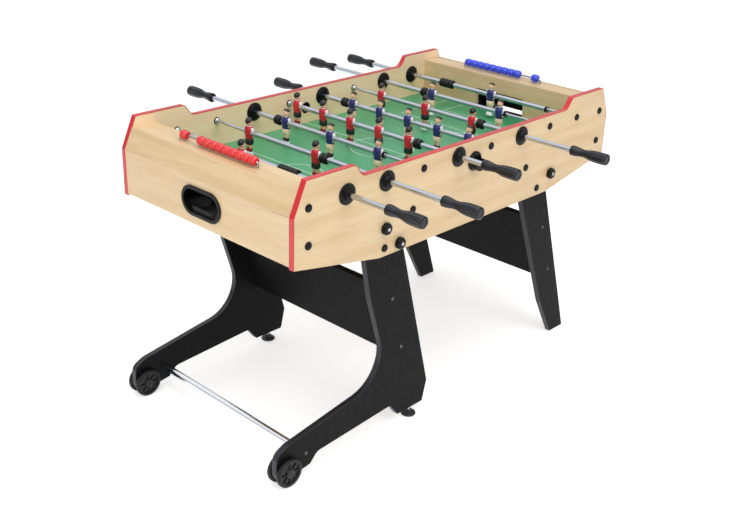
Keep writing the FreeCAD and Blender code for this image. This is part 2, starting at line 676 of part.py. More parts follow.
def scorers():
    """Bent wire on each ledge, nine beads together and one slid across to count a goal."""
    half = D["scorer_long"] / 2
    radius = D["wire_radius"]
    middle = {-1: D["near_scorer_shift"], 1: D["far_scorer_shift"]}
    wires = []
    for end in (-1, 1):
        low = middle[end] - half - radius
        tag = "near" if end < 0 else "far"
        pieces = [rod("wire_" + tag, "wire_radius", 2 * (half + radius), (end * SCORER_X, low, SCORER_Z))]
        for side in (-1, 1):
            along = middle[end] + side * (half + radius)
            foot = (end * SCORER_X, along, LEDGE_Z)
            pieces.append(rod("post_%s_%d" % (tag, side + 2), "wire_radius", "scorer_rise", foot, "z"))
            bend = doc.addObject("Part::Sphere", "bend_%s_%d" % (tag, side + 2))
            give(bend, "Radius", "wire_radius")
            bend.Placement.Base = Vector(end * SCORER_X, along, SCORER_Z)
            pieces.append(bend)
        wires.append(fuse("scorer_" + tag, *pieces))
    node("scorer_wires", *wires)
    pitch = D["bead_pitch"]
    red_start = middle[-1] - half + pitch / 2 + 1
    blue_start = middle[1] + half - pitch / 2 - 1
    node("beads_red", *[bead("red_%d" % index, -1, red_start + pitch * index) for index in range(9)])
    node("beads_blue", *[bead("blue_%d" % index, 1, blue_start - pitch * index) for index in range(9)])
    node("bead_red_scored", bead("red_single", -1, middle[-1] + half - pitch / 2 - 4))
    node("bead_blue_scored", bead("blue_single", 1, middle[1] - half + pitch / 2 + 4))


# ---- rods -------------------------------------------------------------------------------------------

def player(name, x, y):
    """A moulded player on the rod: head, trunk, shorts, legs and foot, in one piece."""
    up = D["player_up"]
    down = D["player_down"]
    wide = D["player_wide"]
    head = doc.addObject("Part::Sphere", name + "_head")
    give(head, "Radius", "head_radius")
    head.Placement.Base = Vector(x, y, ROD_Z + up - D["head_radius"])
    trunk = box(name + "_trunk", (20, "player_wide", 36), (x - 10, y - wide / 2, ROD_Z - 17))
    shorts = box(name + "_shorts", (16, wide - 5, 14), (x - 8, y - (wide - 5) / 2, ROD_Z - 30))
    legs = box(name + "_legs", (12, wide - 12, 24), (x - 6, y - (wide - 12) / 2, ROD_Z - 53))
    foot = box(name + "_foot", (15, wide - 9, down - 48), (x - 7.5, y - (wide - 9) / 2, ROD_Z - down))
    bore = rod(name + "_bore", "tube_radius", wide + 2, (x, y - wide / 2 - 1, ROD_Z))
    return cut(name, fuse(name + "_solid", head, trunk, shorts, legs, foot), bore)


def player_rod(index, x, layout):
    """One rod's tube, players, grip and bumper, as four sub-parts."""
    side = layout["side"]
    label = "rod_%d" % index
    flip = side < 0
    bore = D["tube_bore"]
    radius = D["tube_radius"]
    tail = layout["tail"]
    grip = layout["grip"]
    guide_bore = D["guide_radius"] + D["slide_gap"]
    end = grip + D["grip_bore"]
    tube = [(tail, guide_bore), (tail, radius), (end, radius), (end, bore), (tail + 12, bore),
            (tail + 12, guide_bore)]
    node(label + "_tube", turned(label + "_pipe", tube, (x, 0, ROD_Z), flip))
    men = [player("%s_man_%d" % (label, number), x, side * place)
           for number, place in enumerate(layout["players"], start=1)]
    node(label + "_players", *men)
    long = D["grip_long"]
    full = D["grip_radius"]
    deep = D["grip_bore"]
    handle = [(0, radius), (0, full - 2.5), (3, full - 2), (14, full - 2.5), (36, full - 5), (60, full - 0.8),
              (78, full), (long - 4, full - 0.5), (long, full - 3), (long, 0), (deep, 0), (deep, radius)]
    node(label + "_grip", turned(label + "_handle", handle, (x, side * grip, ROD_Z), flip))
    end = layout["bumper_end"]
    start = end - layout["bumper_long"]
    inner = radius + D["slide_gap"]
    rubber = D["bumper_radius"]
    ring = [(start, inner), (start, rubber), (end, rubber), (end, inner)]
    node(label + "_bumper", turned(label + "_ring", ring, (x, 0, ROD_Z), flip))


# ---- legs -------------------------------------------------------------------------------------------

def near_leg_outline():
    """S-shaped near leg, counter-clockwise from the wheel end's underside."""
    sole = D["sole_height"]
    top = PIVOT_Z + D["near_leg_top"]
    x = NEAR_X
    return [
        (x - 318, 10, 30), (x - 243, 17, 6), (x - 207, 22, 3), (x - 184, 46, 24), (x + 74, 62, 14),
        (x + 104, sole, 6), (x + 201, sole, 5), (x + 215, 84, 8), (x + 64, top, 26),
        (x - 40, top, 28), (x - 40, PIVOT_Z - 20, 120), (x - 16, PIVOT_Z - 135, 160),
        (x + 60, 160, 100), (x - 280, 106, 40), (x - 315, 90, 26),
    ]


def near_legs():
    """The two near legs, drilled for pivots, lock bolts, axles and levelers."""
    holes = [(NEAR_X, PIVOT_Z, D["pivot_radius"] + D["pivot_gap"]), (AXLE_X, D["wheel_radius"], 5)]
    holes += [(x, z, D["pivot_radius"] + 0.2) for x, z in lock_places()[:2]]
    middle = NEAR_LEG_OUT - D["leg_thick"] / 2
    parts = []
    for side in (-1, 1):
        name = "near_leg_%d" % (side + 2)
        leg = board(name, near_leg_outline(), "leg_thick", (0, side * middle, 0), holes)
        start = (NEAR_X + D["leveler_reach"], side * middle, D["sole_height"] - 1)
        bore = D["screw_radius"] + D["slide_gap"]
        screw_hole = rod(name + "_screw_hole", bore, D["screw_long"] + 3, start, "z")
        parts.append(cut(name + "_drilled", leg, screw_hole))
    node("near_legs", *parts)


def tilted_panel(name, top, foot, width):
    """A board across the table between two points (x, z) of its middle plane."""
    along = Vector(foot[0] - top[0], foot[1] - top[1], 0).normalize()
    away = Vector(-along.y, along.x, 0) * (D["cross_thick"] / 2)
    profile = [(top[0] + away.x, top[1] + away.y), (top[0] - away.x, top[1] - away.y),
               (foot[0] - away.x, foot[1] - away.y), (foot[0] + away.x, foot[1] + away.y)]
    return wedge(name, counter_clockwise(profile), width)


def near_base():
    """Cross panel, foot rail and screws between the near legs."""
    top = (NEAR_X + 56, PIVOT_Z - 133)
    foot = (NEAR_X + 113, PIVOT_Z - 340)
    node("near_cross_panel", tilted_panel("near_cross", top, foot, 2 * NEAR_LEG_IN))
    rail_x = NEAR_X - D["rail_reach"]
    start = (rail_x, -NEAR_LEG_IN, D["rail_height"])
    node("foot_rail", rod("rail", "rail_radius", 2 * NEAR_LEG_IN, start))
    screw = [(0, 0), (0, 5), (2, 4), (2, 0)]
    places = [(rail_x, D["rail_height"]), (NEAR_X + 64, PIVOT_Z - 162), (NEAR_X + 105, PIVOT_Z - 310)]
    parts = []
    for side in (-1, 1):
        for index, (x, z) in enumerate(places):
            parts.append(turned("leg_screw_%d_%d" % (side + 2, index), screw,
                                (x, side * NEAR_LEG_OUT, z), side < 0))
    node("leg_screws", *parts)


def wheels():
    """Twin wheels on one axle through each near leg's end."""
    radius = D["wheel_radius"]
    thick = D["wheel_thick"]
    half_leg = D["leg_thick"] / 2
    axle = D["axle_radius"] - D["pivot_gap"]
    gap = 1.5
    inner = half_leg + gap
    outer = inner + thick
    profile = [(-outer, 0), (-outer, 9), (-outer + 2, 12), (-outer + 2, radius - 9), (-outer, radius - 7),
               (-outer, radius - 2), (-outer + 2, radius), (-inner - 2, radius), (-inner, radius - 2),
               (-inner, axle), (inner, axle), (inner, radius - 2), (inner + 2, radius), (outer - 2, radius),
               (outer, radius - 2), (outer, radius - 7), (outer - 2, radius - 9), (outer - 2, 12), (outer, 9),
               (outer, 0)]
    for side, label in ((-1, "front"), (1, "back")):
        place = (AXLE_X, side * (NEAR_LEG_OUT - half_leg), radius)
        node("wheels_" + label, turned("wheel_pair_" + label, profile, place))


def levelers():
    """Threaded feet under the near legs."""
    sole = D["sole_height"]
    for side, label in ((-1, "front"), (1, "back")):
        place = (NEAR_X + D["leveler_reach"], side * (NEAR_LEG_OUT - D["leg_thick"] / 2), 0)
        pad = rod("leveler_pad_" + label, "leveler_radius", 8, place, "z")
        neck = rod("leveler_neck_" + label, 6, sole - 8 - 0.2, (place[0], place[1], 8), "z")
        top = (place[0], place[1], sole - 0.2)
        screw = rod("leveler_screw_" + label, "screw_radius", D["screw_long"], top, "z")
        node("leveler_" + label, fuse("leveler_foot_" + label, pad, neck, screw))


def far_leg_outline():
    """Straight tapered far leg, counter-clockwise from its sole."""
    x = FAR_X
    top = PIVOT_Z + D["far_leg_top"]
    return [(x + 217, 0, 3), (x + 283, 0, 3), (x + 97, PIVOT_Z + 1, 0), (x + 78, top, 20), (x - 45, top, 20),
            (x - 20, PIVOT_Z - 5, 0), (x + 145, 125, 60)]


def far_legs():
    """The two far legs with their cross panel and screws."""
    holes = [(FAR_X, PIVOT_Z, D["pivot_radius"] + D["pivot_gap"])]
    holes.append((lock_places()[2][0], lock_places()[2][1], D["pivot_radius"] + 0.2))
    middle = FAR_LEG_OUT - D["leg_thick"] / 2
    parts = [board("far_leg_%d" % (side + 2), far_leg_outline(), "leg_thick", (0, side * middle, 0), holes)
             for side in (-1, 1)]
    node("far_legs", *parts)
    top = (FAR_X + 106, PIVOT_Z - 135)
    foot = (FAR_X + 178, PIVOT_Z - 342)
    node("far_cross_panel", tilted_panel("far_cross", top, foot, 2 * FAR_LEG_IN))
    screw = [(0, 0), (0, 5), (2, 4), (2, 0)]
    places = [(FAR_X + 115, PIVOT_Z - 160), (FAR_X + 166, PIVOT_Z - 307)]
    screws = []
    for side in (-1, 1):
        for index, (x, z) in enumerate(places):
            screws.append(turned("far_screw_%d_%d" % (side + 2, index), screw,
                                 (x, side * FAR_LEG_OUT, z), side < 0))
    node("far_leg_screws", *screws)


# ---- document ---------------------------------------------------------------------------------------

def centre_shift():
    """Shift that puts the middle of the whole table's box on the origin, with the floor at z = 0."""
    reach = {side: max(layout["grip"] + D["grip_long"] for layout in LAYOUTS if layout["side"] == side)
             for side in (-1, 1)}
    low_x = AXLE_X - D["wheel_radius"]
    high_x = HALF_LENGTH + 4
    return Vector(-(low_x + high_x) / 2, (reach[-1] - reach[1]) / 2, 0)


def check():
    """Stop if any object failed, or any sub-part is empty or not valid."""
    for item in doc.Objects:
        if "Invalid" in item.State or "Error" in item.State:
            raise RuntimeError("%s failed: %s" % (item.Label, item.State))
    for name, item in nodes.items():
        if item.Shape.isNull() or not item.Shape.isValid() or not item.Shape.Solids:
            raise RuntimeError("%s has no valid solid" % name)


def main():
    write_sheet()
    side_panels()
    edge_trims()
    end_boards()
    goal_walls()
    playfield()
    return_cups()
    entry_cups()
    rod_bearings()
    guide_rods()
    bolt_caps()
    node("leg_bolts", *pivot_bolts(), *lock_knobs())
    scorers()
    for index, (x, layout) in enumerate(zip(ROD_X, LAYOUTS), start=1):
        player_rod(index, x, layout)
    near_legs()
    near_base()
    wheels()
    levelers()
    far_legs()
    doc.recompute()
    shift = centre_shift()
    for item in nodes.values():
        item.Placement.Base = shift
    doc.recompute()
    check()
    os.makedirs("parts", exist_ok=True)
    for name, item in nodes.items():
        item.Shape.exportStep("parts/%s.step" % name)
    print("shift", tuple(shift), "nodes", len(nodes))


main()
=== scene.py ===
from math import cos, pi, radians, sin

import bmesh
import bpy
from mathutils import Matrix, Vector


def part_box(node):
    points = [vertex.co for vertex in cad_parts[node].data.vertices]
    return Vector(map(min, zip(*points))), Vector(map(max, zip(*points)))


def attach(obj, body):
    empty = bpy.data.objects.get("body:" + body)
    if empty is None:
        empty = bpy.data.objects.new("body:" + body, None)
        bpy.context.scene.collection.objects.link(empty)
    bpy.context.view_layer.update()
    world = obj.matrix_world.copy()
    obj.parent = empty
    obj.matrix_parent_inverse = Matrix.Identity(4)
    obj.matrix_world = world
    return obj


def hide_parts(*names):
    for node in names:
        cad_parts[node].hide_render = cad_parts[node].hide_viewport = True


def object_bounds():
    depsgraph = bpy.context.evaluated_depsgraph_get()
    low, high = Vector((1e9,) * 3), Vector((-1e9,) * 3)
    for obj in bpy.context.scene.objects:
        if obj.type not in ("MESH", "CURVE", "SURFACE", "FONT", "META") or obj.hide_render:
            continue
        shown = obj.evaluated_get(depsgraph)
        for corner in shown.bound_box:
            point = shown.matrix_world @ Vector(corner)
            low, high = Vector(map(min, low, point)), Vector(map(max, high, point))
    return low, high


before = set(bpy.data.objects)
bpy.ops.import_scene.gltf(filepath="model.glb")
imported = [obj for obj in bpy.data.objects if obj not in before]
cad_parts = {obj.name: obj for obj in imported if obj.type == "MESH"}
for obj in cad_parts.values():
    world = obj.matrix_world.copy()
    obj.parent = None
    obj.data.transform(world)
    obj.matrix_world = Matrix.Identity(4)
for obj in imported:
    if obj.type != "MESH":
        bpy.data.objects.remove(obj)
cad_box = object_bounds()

# ---- floor, light and camera ---------------------------------------------------------------------
# A seamless pale studio floor under soft lamps overhead and in front, with the camera standing off
# the near left corner of the table at about eye height.


def shade(red, green, blue):
    """A colour given from 0 to 255, as a shader takes it."""
    parts = [v / 255 for v in (red, green, blue)]
    return tuple(v / 12.92 if v <= 0.04045 else ((v + 0.055) / 1.055) ** 2.4 for v in parts) + (1.0,)


def new_finish(name, colour, rough, metal=0.0):
    """A material with its node tree and its surface shader."""
    made = bpy.data.materials.new(name)
    made.use_nodes = True
    surface = made.node_tree.nodes["Principled BSDF"]
    surface.inputs["Base Color"].default_value = colour
    surface.inputs["Roughness"].default_value = rough
    surface.inputs["Metallic"].default_value = metal
    return made, made.node_tree, surface


def feed(tree, socket, value):
    """Link a socket to another one, or give it a plain number or colour."""
    if isinstance(value, bpy.types.NodeSocket):
        tree.links.new(value, socket)
    else:
        socket.default_value = value


def remap(tree, value, low, high, to_low, to_high):
    """A value stretched from one range to another, held inside it."""
    spread = tree.nodes.new("ShaderNodeMapRange")
    for socket, number in zip(("From Min", "From Max", "To Min", "To Max"), (low, high, to_low, to_high)):
        feed(tree, spread.inputs[socket], number)
    feed(tree, spread.inputs["Value"], value)
    return spread.outputs["Result"]


WHITE = (1.0, 1.0, 1.0, 1.0)
FLOOR_HALF, FLOOR_DROP, FLOOR_GLOW = 9.0, 0.0006, 0.5
floor_mesh = bpy.data.meshes.new("studio_floor")
floor_mesh.from_pydata([(-FLOOR_HALF, -FLOOR_HALF, 0), (FLOOR_HALF, -FLOOR_HALF, 0),
                        (FLOOR_HALF, FLOOR_HALF, 0), (-FLOOR_HALF, FLOOR_HALF, 0)], [], [(0, 1, 2, 3)])
studio_floor = bpy.data.objects.new("studio_floor", floor_mesh)
studio_floor.location.z = cad_box[0].z - FLOOR_DROP
bpy.context.scene.collection.objects.link(studio_floor)
floor_paint, _, floor_surface = new_finish("studio_floor", shade(250, 250, 250), 0.85)
floor_surface.inputs["Emission Color"].default_value = WHITE
floor_surface.inputs["Emission Strength"].default_value = FLOOR_GLOW
floor_mesh.materials.append(floor_paint)

bpy.context.scene.view_settings.view_transform = "Standard"
SOFT_LIGHT, SHOWN_LIGHT = 0.5, 1.0
WALL_FOOT, WALL_HEAD = 0.02, 0.55
WALL_LIGHT, CEILING_LIGHT = 0.16, 1.1
studio = bpy.data.worlds.new("studio")
studio.use_nodes = True
studio_tree = studio.node_tree
backdrop = studio_tree.nodes["Background"]
backdrop.inputs["Color"].default_value = WHITE
sky = studio_tree.nodes.new("ShaderNodeTexCoord")
height_of = studio_tree.nodes.new("ShaderNodeSeparateXYZ")
feed(studio_tree, height_of.inputs["Vector"], sky.outputs["Generated"])
rising = remap(studio_tree, height_of.outputs["Z"], WALL_FOOT, WALL_HEAD, WALL_LIGHT, CEILING_LIGHT)
ray = studio_tree.nodes.new("ShaderNodeLightPath")
light = SOFT_LIGHT
for output, seen in (("Is Glossy Ray", rising), ("Is Camera Ray", SHOWN_LIGHT)):
    choice = studio_tree.nodes.new("ShaderNodeMix")
    feed(studio_tree, choice.inputs["Factor"], ray.outputs[output])
    feed(studio_tree, choice.inputs["A"], light)
    feed(studio_tree, choice.inputs["B"], seen)
    light = choice.outputs["Result"]
feed(studio_tree, backdrop.inputs["Strength"], light)
bpy.context.scene.world = studio

LAMPS = [("over", (-0.3, -0.5, 3.2), 2.2, 44), ("left", (-3.0, -0.6, 2.2), 2.2, 27),
         ("front", (-0.4, -3.2, 3.0), 2.0, 36)]
table_middle = (cad_box[0] + cad_box[1]) / 2
for lamp_name, lamp_place, lamp_size, lamp_watts in LAMPS:
    lamp = bpy.data.lights.new("lamp_" + lamp_name, "AREA")
    lamp.shape = "SQUARE"
    lamp.size = lamp_size
    lamp.energy = lamp_watts
    holder = bpy.data.objects.new("lamp_" + lamp_name, lamp)
    holder.location = lamp_place
    holder.rotation_mode = "QUATERNION"
    holder.rotation_quaternion = (table_middle - Vector(lamp_place)).to_track_quat("-Z", "Y")
    bpy.context.scene.collection.objects.link(holder)

EYE_FROM_CABINET = Vector((-1.9711, -1.7994, 1.5102))
cabinet_middle = (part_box("side_panel_front")[0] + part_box("side_panel_back")[1]) / 2
TURN, RISE, ROLL = radians(-46.97), radians(23.96), radians(1.97)
LENS, SENSOR_WIDTH, NEAREST_SEEN = 51.2, 36.0, 0.02
back = Vector((sin(TURN) * cos(RISE), -cos(TURN) * cos(RISE), sin(RISE)))
right = Vector((0, 0, 1)).cross(back).normalized()
over = back.cross(right)
right, over = cos(ROLL) * right + sin(ROLL) * over, cos(ROLL) * over - sin(ROLL) * right
eye = bpy.data.objects.new("camera", bpy.data.cameras.new("camera"))
eye.data.lens = LENS
eye.data.sensor_width = SENSOR_WIDTH
eye.data.clip_start = NEAREST_SEEN
eye.matrix_world = Matrix((right, over, back)).transposed().to_4x4()
eye.location = Vector((cabinet_middle.x, cabinet_middle.y, cad_box[0].z)) + EYE_FROM_CABINET
bpy.context.scene.collection.objects.link(eye)
bpy.context.scene.camera = eye

# ---- side panels and their red edge strips -------------------------------------------------------
# Two long panels of chipboard faced with a pale maple-print laminate, sawn to the table's outline and
# drilled for the rods and bolts. Their sawn edges are covered with a glossy red plastic strip.


def effect_group(name, inputs, outputs):
    """An empty shader group with its named sockets, and its two end nodes."""
    group = bpy.data.node_groups.new(name, "ShaderNodeTree")
    for label, kind in inputs:
        group.interface.new_socket(label, in_out="INPUT", socket_type="NodeSocket" + kind)
    for label, kind in outputs:
        group.interface.new_socket(label, in_out="OUTPUT", socket_type="NodeSocket" + kind)
    return group, group.nodes.new("NodeGroupInput"), group.nodes.new("NodeGroupOutput")


def noise_in(tree, scale, detail, rough, place):
    """A noise texture read at a place, with a plain or a linked scale."""
    noise = tree.nodes.new("ShaderNodeTexNoise")
    noise.inputs["Detail"].default_value = detail
    noise.inputs["Roughness"].default_value = rough
    feed(tree, noise.inputs["Scale"], scale)
    feed(tree, noise.inputs["Vector"], place)
    return noise.outputs["Fac"]


def sum_of(tree, kind, first, second):
    """Two values, or a value and a number, put together by a maths node."""
    node = tree.nodes.new("ShaderNodeMath")
    node.operation = kind
    for socket, part in zip(node.inputs, (first, second)):
        feed(tree, socket, part)
    return node.outputs[0]


wood_print, wood_in, wood_out = effect_group(
    "wood_print", [("Place", "Vector")], [("Figure", "Float"), ("Pores", "Float"), ("Sheen", "Float")])
BROAD_GRAIN, FINE_GRAIN, HAIR_GRAIN = (2.2, 3.0, 0.5), (21.0, 6.0, 0.65), (90.0, 3.0, 0.6)
BROAD_SHARE, FINE_SHARE = 0.62, 0.38
FIGURE_FROM, PORES_FROM = (0.36, 0.64), (0.56, 0.72)
wood_broad, wood_fine, wood_hair = (noise_in(wood_print, *grain, wood_in.outputs["Place"])
                                    for grain in (BROAD_GRAIN, FINE_GRAIN, HAIR_GRAIN))
wood_mix = sum_of(wood_print, "ADD", sum_of(wood_print, "MULTIPLY", wood_broad, BROAD_SHARE),
                  sum_of(wood_print, "MULTIPLY", wood_fine, FINE_SHARE))
feed(wood_print, wood_out.inputs["Figure"], remap(wood_print, wood_mix, *FIGURE_FROM, 0.0, 1.0))
feed(wood_print, wood_out.inputs["Pores"], remap(wood_print, wood_hair, *PORES_FROM, 0.0, 1.0))
feed(wood_print, wood_out.inputs["Sheen"], wood_fine)


def placed(tree, scale=(1.0, 1.0, 1.0)):
    """The piece's own coordinates, stretched."""
    coordinates = tree.nodes.new("ShaderNodeTexCoord")
    stretch = tree.nodes.new("ShaderNodeMapping")
    stretch.inputs["Scale"].default_value = scale
    tree.links.new(coordinates.outputs["Object"], stretch.inputs["Vector"])
    return stretch.outputs["Vector"]


def blended(tree, amount, first, second):
    """A colour between two others; each is a colour or a socket."""
    mix = tree.nodes.new("ShaderNodeMix")
    mix.data_type = "RGBA"
    tree.links.new(amount, mix.inputs["Factor"])
    feed(tree, mix.inputs[6], first)
    feed(tree, mix.inputs[7], second)
    return mix.outputs[2]


def bumped(tree, surface, height, strength, distance):
    """Fine relief on a surface."""
    bump = tree.nodes.new("ShaderNodeBump")
    bump.inputs["Strength"].default_value = strength
    bump.inputs["Distance"].default_value = distance
    tree.links.new(height, bump.inputs["Height"])
    tree.links.new(bump.outputs["Normal"], surface.inputs["Normal"])


PORE_SHOWN, PORE_DEPTH = 0.55, 0.0004
BOARD_COAT_ROUGH, MOULDED_COAT_ROUGH = 0.3, 0.12


def board_finish(name, stretch, light, dark, pore, rough, gloss=0.0, relief=0.10, shine=0.5):
    """Printed laminate: long figure and fine pores along the board."""
    made, tree, surface = new_finish(name, light, rough[0])
    figure = tree.nodes.new("ShaderNodeGroup")
    figure.node_tree = wood_print
    tree.links.new(placed(tree, stretch), figure.inputs["Place"])
    ground = blended(tree, figure.outputs["Figure"], light, dark)
    pored = blended(tree, sum_of(tree, "MULTIPLY", figure.outputs["Pores"], PORE_SHOWN), ground, pore)
    tree.links.new(pored, surface.inputs["Base Color"])
    tree.links.new(remap(tree, figure.outputs["Sheen"], 0.3, 0.7, *rough), surface.inputs["Roughness"])
    surface.inputs["Specular IOR Level"].default_value = shine
    surface.inputs["Coat Weight"].default_value = gloss
    surface.inputs["Coat Roughness"].default_value = BOARD_COAT_ROUGH
    bumped(tree, surface, figure.outputs["Pores"], relief, PORE_DEPTH)
    return made


MAPLE = [shade(218, 193, 153), shade(203, 172, 127), shade(184, 150, 110)]
ALONG_X, ALONG_Y = (1.1, 15.0, 15.0), (15.0, 1.1, 15.0)
maple_long = board_finish("maple_laminate_long", ALONG_X, *MAPLE, (0.38, 0.50), 0.15)
maple_across = board_finish("maple_laminate_across", ALONG_Y, *MAPLE, (0.36, 0.48), 0.35)

mottle, mottle_in, mottle_out = effect_group(
    "mottle", [("Place", "Vector"), ("Scale", "Float"), ("Depth", "Float")],
    [("Tone", "Float"), ("Height", "Float")])
FINER_BY = 9.0
mottle_soft = noise_in(mottle, mottle_in.outputs["Scale"], 4.0, 0.6, mottle_in.outputs["Place"])
mottle_fine_scale = sum_of(mottle, "MULTIPLY", mottle_in.outputs["Scale"], FINER_BY)
mottle_fine = noise_in(mottle, mottle_fine_scale, 2.0, 0.5, mottle_in.outputs["Place"])
mottle_low = sum_of(mottle, "SUBTRACT", 1.0, mottle_in.outputs["Depth"])
mottle_high = sum_of(mottle, "ADD", 1.0, mottle_in.outputs["Depth"])
feed(mottle, mottle_out.inputs["Tone"], remap(mottle, mottle_soft, 0.32, 0.68, mottle_low, mottle_high))
feed(mottle, mottle_out.inputs["Height"], mottle_fine)


def moulded_finish(name, colour, rough, scale=60.0, depth=0.06, relief=0.12, metal=0.0, gloss=0.0,
                   stretch=(1.0, 1.0, 1.0), lift=0.0005, shine=0.5):
    """Plastic, rubber or metal with a faint mottle in its tone and gloss, and a fine grain."""
    made, tree, surface = new_finish(name, colour, rough, metal)
    grain = tree.nodes.new("ShaderNodeGroup")
    grain.node_tree = mottle
    grain.inputs["Scale"].default_value = scale
    grain.inputs["Depth"].default_value = depth
    tree.links.new(placed(tree, stretch), grain.inputs["Place"])
    toned = tree.nodes.new("ShaderNodeMix")
    toned.data_type = "RGBA"
    toned.blend_type = "MULTIPLY"
    toned.inputs["Factor"].default_value = 1.0
    toned.inputs[6].default_value = colour
    tree.links.new(grain.outputs["Tone"], toned.inputs[7])
    tree.links.new(toned.outputs[2], surface.inputs["Base Color"])
    tree.links.new(remap(tree, grain.outputs["Tone"], 1 - depth, 1 + depth, rough * 0.85, rough * 1.15),
                   surface.inputs["Roughness"])
    if relief:
        bumped(tree, surface, grain.outputs["Height"], relief, lift)
    surface.inputs["Specular IOR Level"].default_value = shine
    surface.inputs["Coat Weight"].default_value = gloss
    surface.inputs["Coat Roughness"].default_value = MOULDED_COAT_ROUGH
    return made


red_strip = moulded_finish("red_edge_strip", shade(194, 26, 38), 0.32, 14.0, 0.05, 0.04, gloss=0.3)


def finish_piece(name, shape, body, coats, stands_for=(), crease=35.0, weigh=False):
    """Turn a gathered shape into a piece that rides on a body and stands for CAD nodes."""
    mesh = bpy.data.meshes.new(name)
    shape.to_mesh(mesh)
    shape.free()
    for coat in coats:
        mesh.materials.append(coat)
    mesh.shade_smooth()
    mesh.set_sharp_from_angle(angle=radians(crease))
    piece = bpy.data.objects.new(name, mesh)
    bpy.context.scene.collection.objects.link(piece)
    if weigh:
        weighted = piece.modifiers.new("even_shading", "WEIGHTED_NORMAL")
        weighted.keep_sharp = True
    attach(piece, body)
    if stands_for:
        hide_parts(*stands_for)
    return piece


WELD, FLAT_WITHIN = 2e-6, 0.4


def cad_copy(node):
    """A copy of a CAD node's shape with its loose points welded."""
    shape = bmesh.new()
    shape.from_mesh(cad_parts[node].data)
    bmesh.ops.remove_doubles(shape, verts=shape.verts, dist=WELD)
    return shape


def softened(node, body, coats, round_by=0.0007, sharp=32.0, rings=2, pick=None):
    """A copy of a CAD node's shape with its sharp edges rounded over."""
    shape = cad_copy(node)
    bmesh.ops.dissolve_limit(shape, angle_limit=radians(FLAT_WITHIN), verts=shape.verts, edges=shape.edges)
    edges = [e for e in shape.edges if len(e.link_faces) == 2 and e.calc_face_angle() > radians(sharp)]
    bmesh.ops.bevel(shape, geom=edges, offset=round_by, offset_type="OFFSET", segments=rings, profile=0.5,
                    affect="EDGES", clamp_overlap=False)
    if pick:
        for face in shape.faces:
            face.material_index = pick(face)
    return finish_piece(node + "_shown", shape, body, coats, [node],
                        crease=min(35.0, sharp + 8.0), weigh=True)


# The panels' inner faces get a lighter copy of the same maple laminate. This is painted light: it brightens
# the faces that turn into the cabinet, where less light reaches them.
INNER_MAPLE_PAINTED_LIGHT = [shade(247, 219, 184), shade(236, 205, 165), shade(212, 180, 142)]
maple_inner_painted_light = board_finish("maple_laminate_inner_painted_light", ALONG_X, *INNER_MAPLE_PAINTED_LIGHT, (0.42, 0.54), 0.1)
PANELS = [("side_panel_front", 1), ("side_panel_back", -1)]
for panel, inward in PANELS:
    softened(panel, "cabinet", [maple_long, maple_inner_painted_light],
             pick=lambda face: 1 if face.normal.y * inward > 0.9 else 0)
softened("edge_trims", "cabinet", [red_strip], round_by=0.0006)

# ---- end boards and goal walls -------------------------------------------------------------------
# At each end an upright board, a sloping board and a level ledge, then an inner wall with the goal
# mouth. All are laminate, with the figure running across the table, screwed between the side panels.

softened("end_boards", "cabinet", [maple_across], round_by=0.0009, sharp=12)
softened("goal_walls", "cabinet", [maple_across])

# ---- playing field -------------------------------------------------------------------------------
# A thin fibreboard printed green with white pitch markings, sliding in from below and stiffened by
# two battens glued underneath.

field_low, field_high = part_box("playfield")
FIELD_MIDDLE = (field_low + field_high) / 2
FIELD_TOP = field_high.z
pitch_green, pitch_tree, pitch_surface = new_finish("printed_pitch", shade(66, 150, 104), 0.38)
pitch_place = placed(pitch_tree)
pitch_cloud = noise_in(pitch_tree, 3.0, 3.0, 0.5, pitch_place)
pitch_speck = noise_in(pitch_tree, 700.0, 2.0, 0.5, pitch_place)
pitch_base = blended(pitch_tree, remap(pitch_tree, pitch_cloud, 0.3, 0.7, 0.0, 1.0),
                     shade(62, 146, 100), shade(78, 160, 113))
pitch_colour = blended(pitch_tree, remap(pitch_tree, pitch_speck, 0.45, 0.75, 0.0, 0.35),
                       pitch_base, shade(46, 124, 82))
feed(pitch_tree, pitch_surface.inputs["Base Color"], pitch_colour)
feed(pitch_tree, pitch_surface.inputs["Roughness"], remap(pitch_tree, pitch_cloud, 0.3, 0.7, 0.34, 0.44))
bumped(pitch_tree, pitch_surface, pitch_speck, 0.05, 0.0002)
raw_board = moulded_finish("raw_fibreboard", shade(150, 118, 84), 0.75, 45.0, 0.12, 0.25)


def printed_side(face):
    """1 for the printed upper face of the field, 0 for bare board."""
    return 1 if face.normal.z > 0.9 and face.calc_center_median().z > FIELD_TOP - 0.001 else 0


softened("playfield", "cabinet", [raw_board, pitch_green], round_by=0.0004, pick=printed_side)


LINE_HALF, LINE_HEIGHT = 0.0014, FIELD_TOP + 0.00025


def stripe(shape, points, half_width=LINE_HALF):
    """A flat printed line along a path, just above the board."""
    rows = []
    for index, (x, y) in enumerate(points):
        before = points[max(index - 1, 0)]
        after = points[min(index + 1, len(points) - 1)]
        along = Vector((after[0] - before[0], after[1] - before[1])).normalized()
        side = Vector((-along.y, along.x)) * half_width
        rows.append([shape.verts.new((x + s * side.x, y + s * side.y, LINE_HEIGHT)) for s in (-1, 1)])
    for first, second in zip(rows, rows[1:]):
        shape.faces.new((first[0], second[0], second[1], first[1]))


def arc(centre, radius, start, end, steps=48):
    """Points along an arc, angles in degrees."""
    angles = [radians(start + (end - start) * i / steps) for i in range(steps + 1)]
    return [(centre[0] + radius * cos(a), centre[1] + radius * sin(a)) for a in angles]


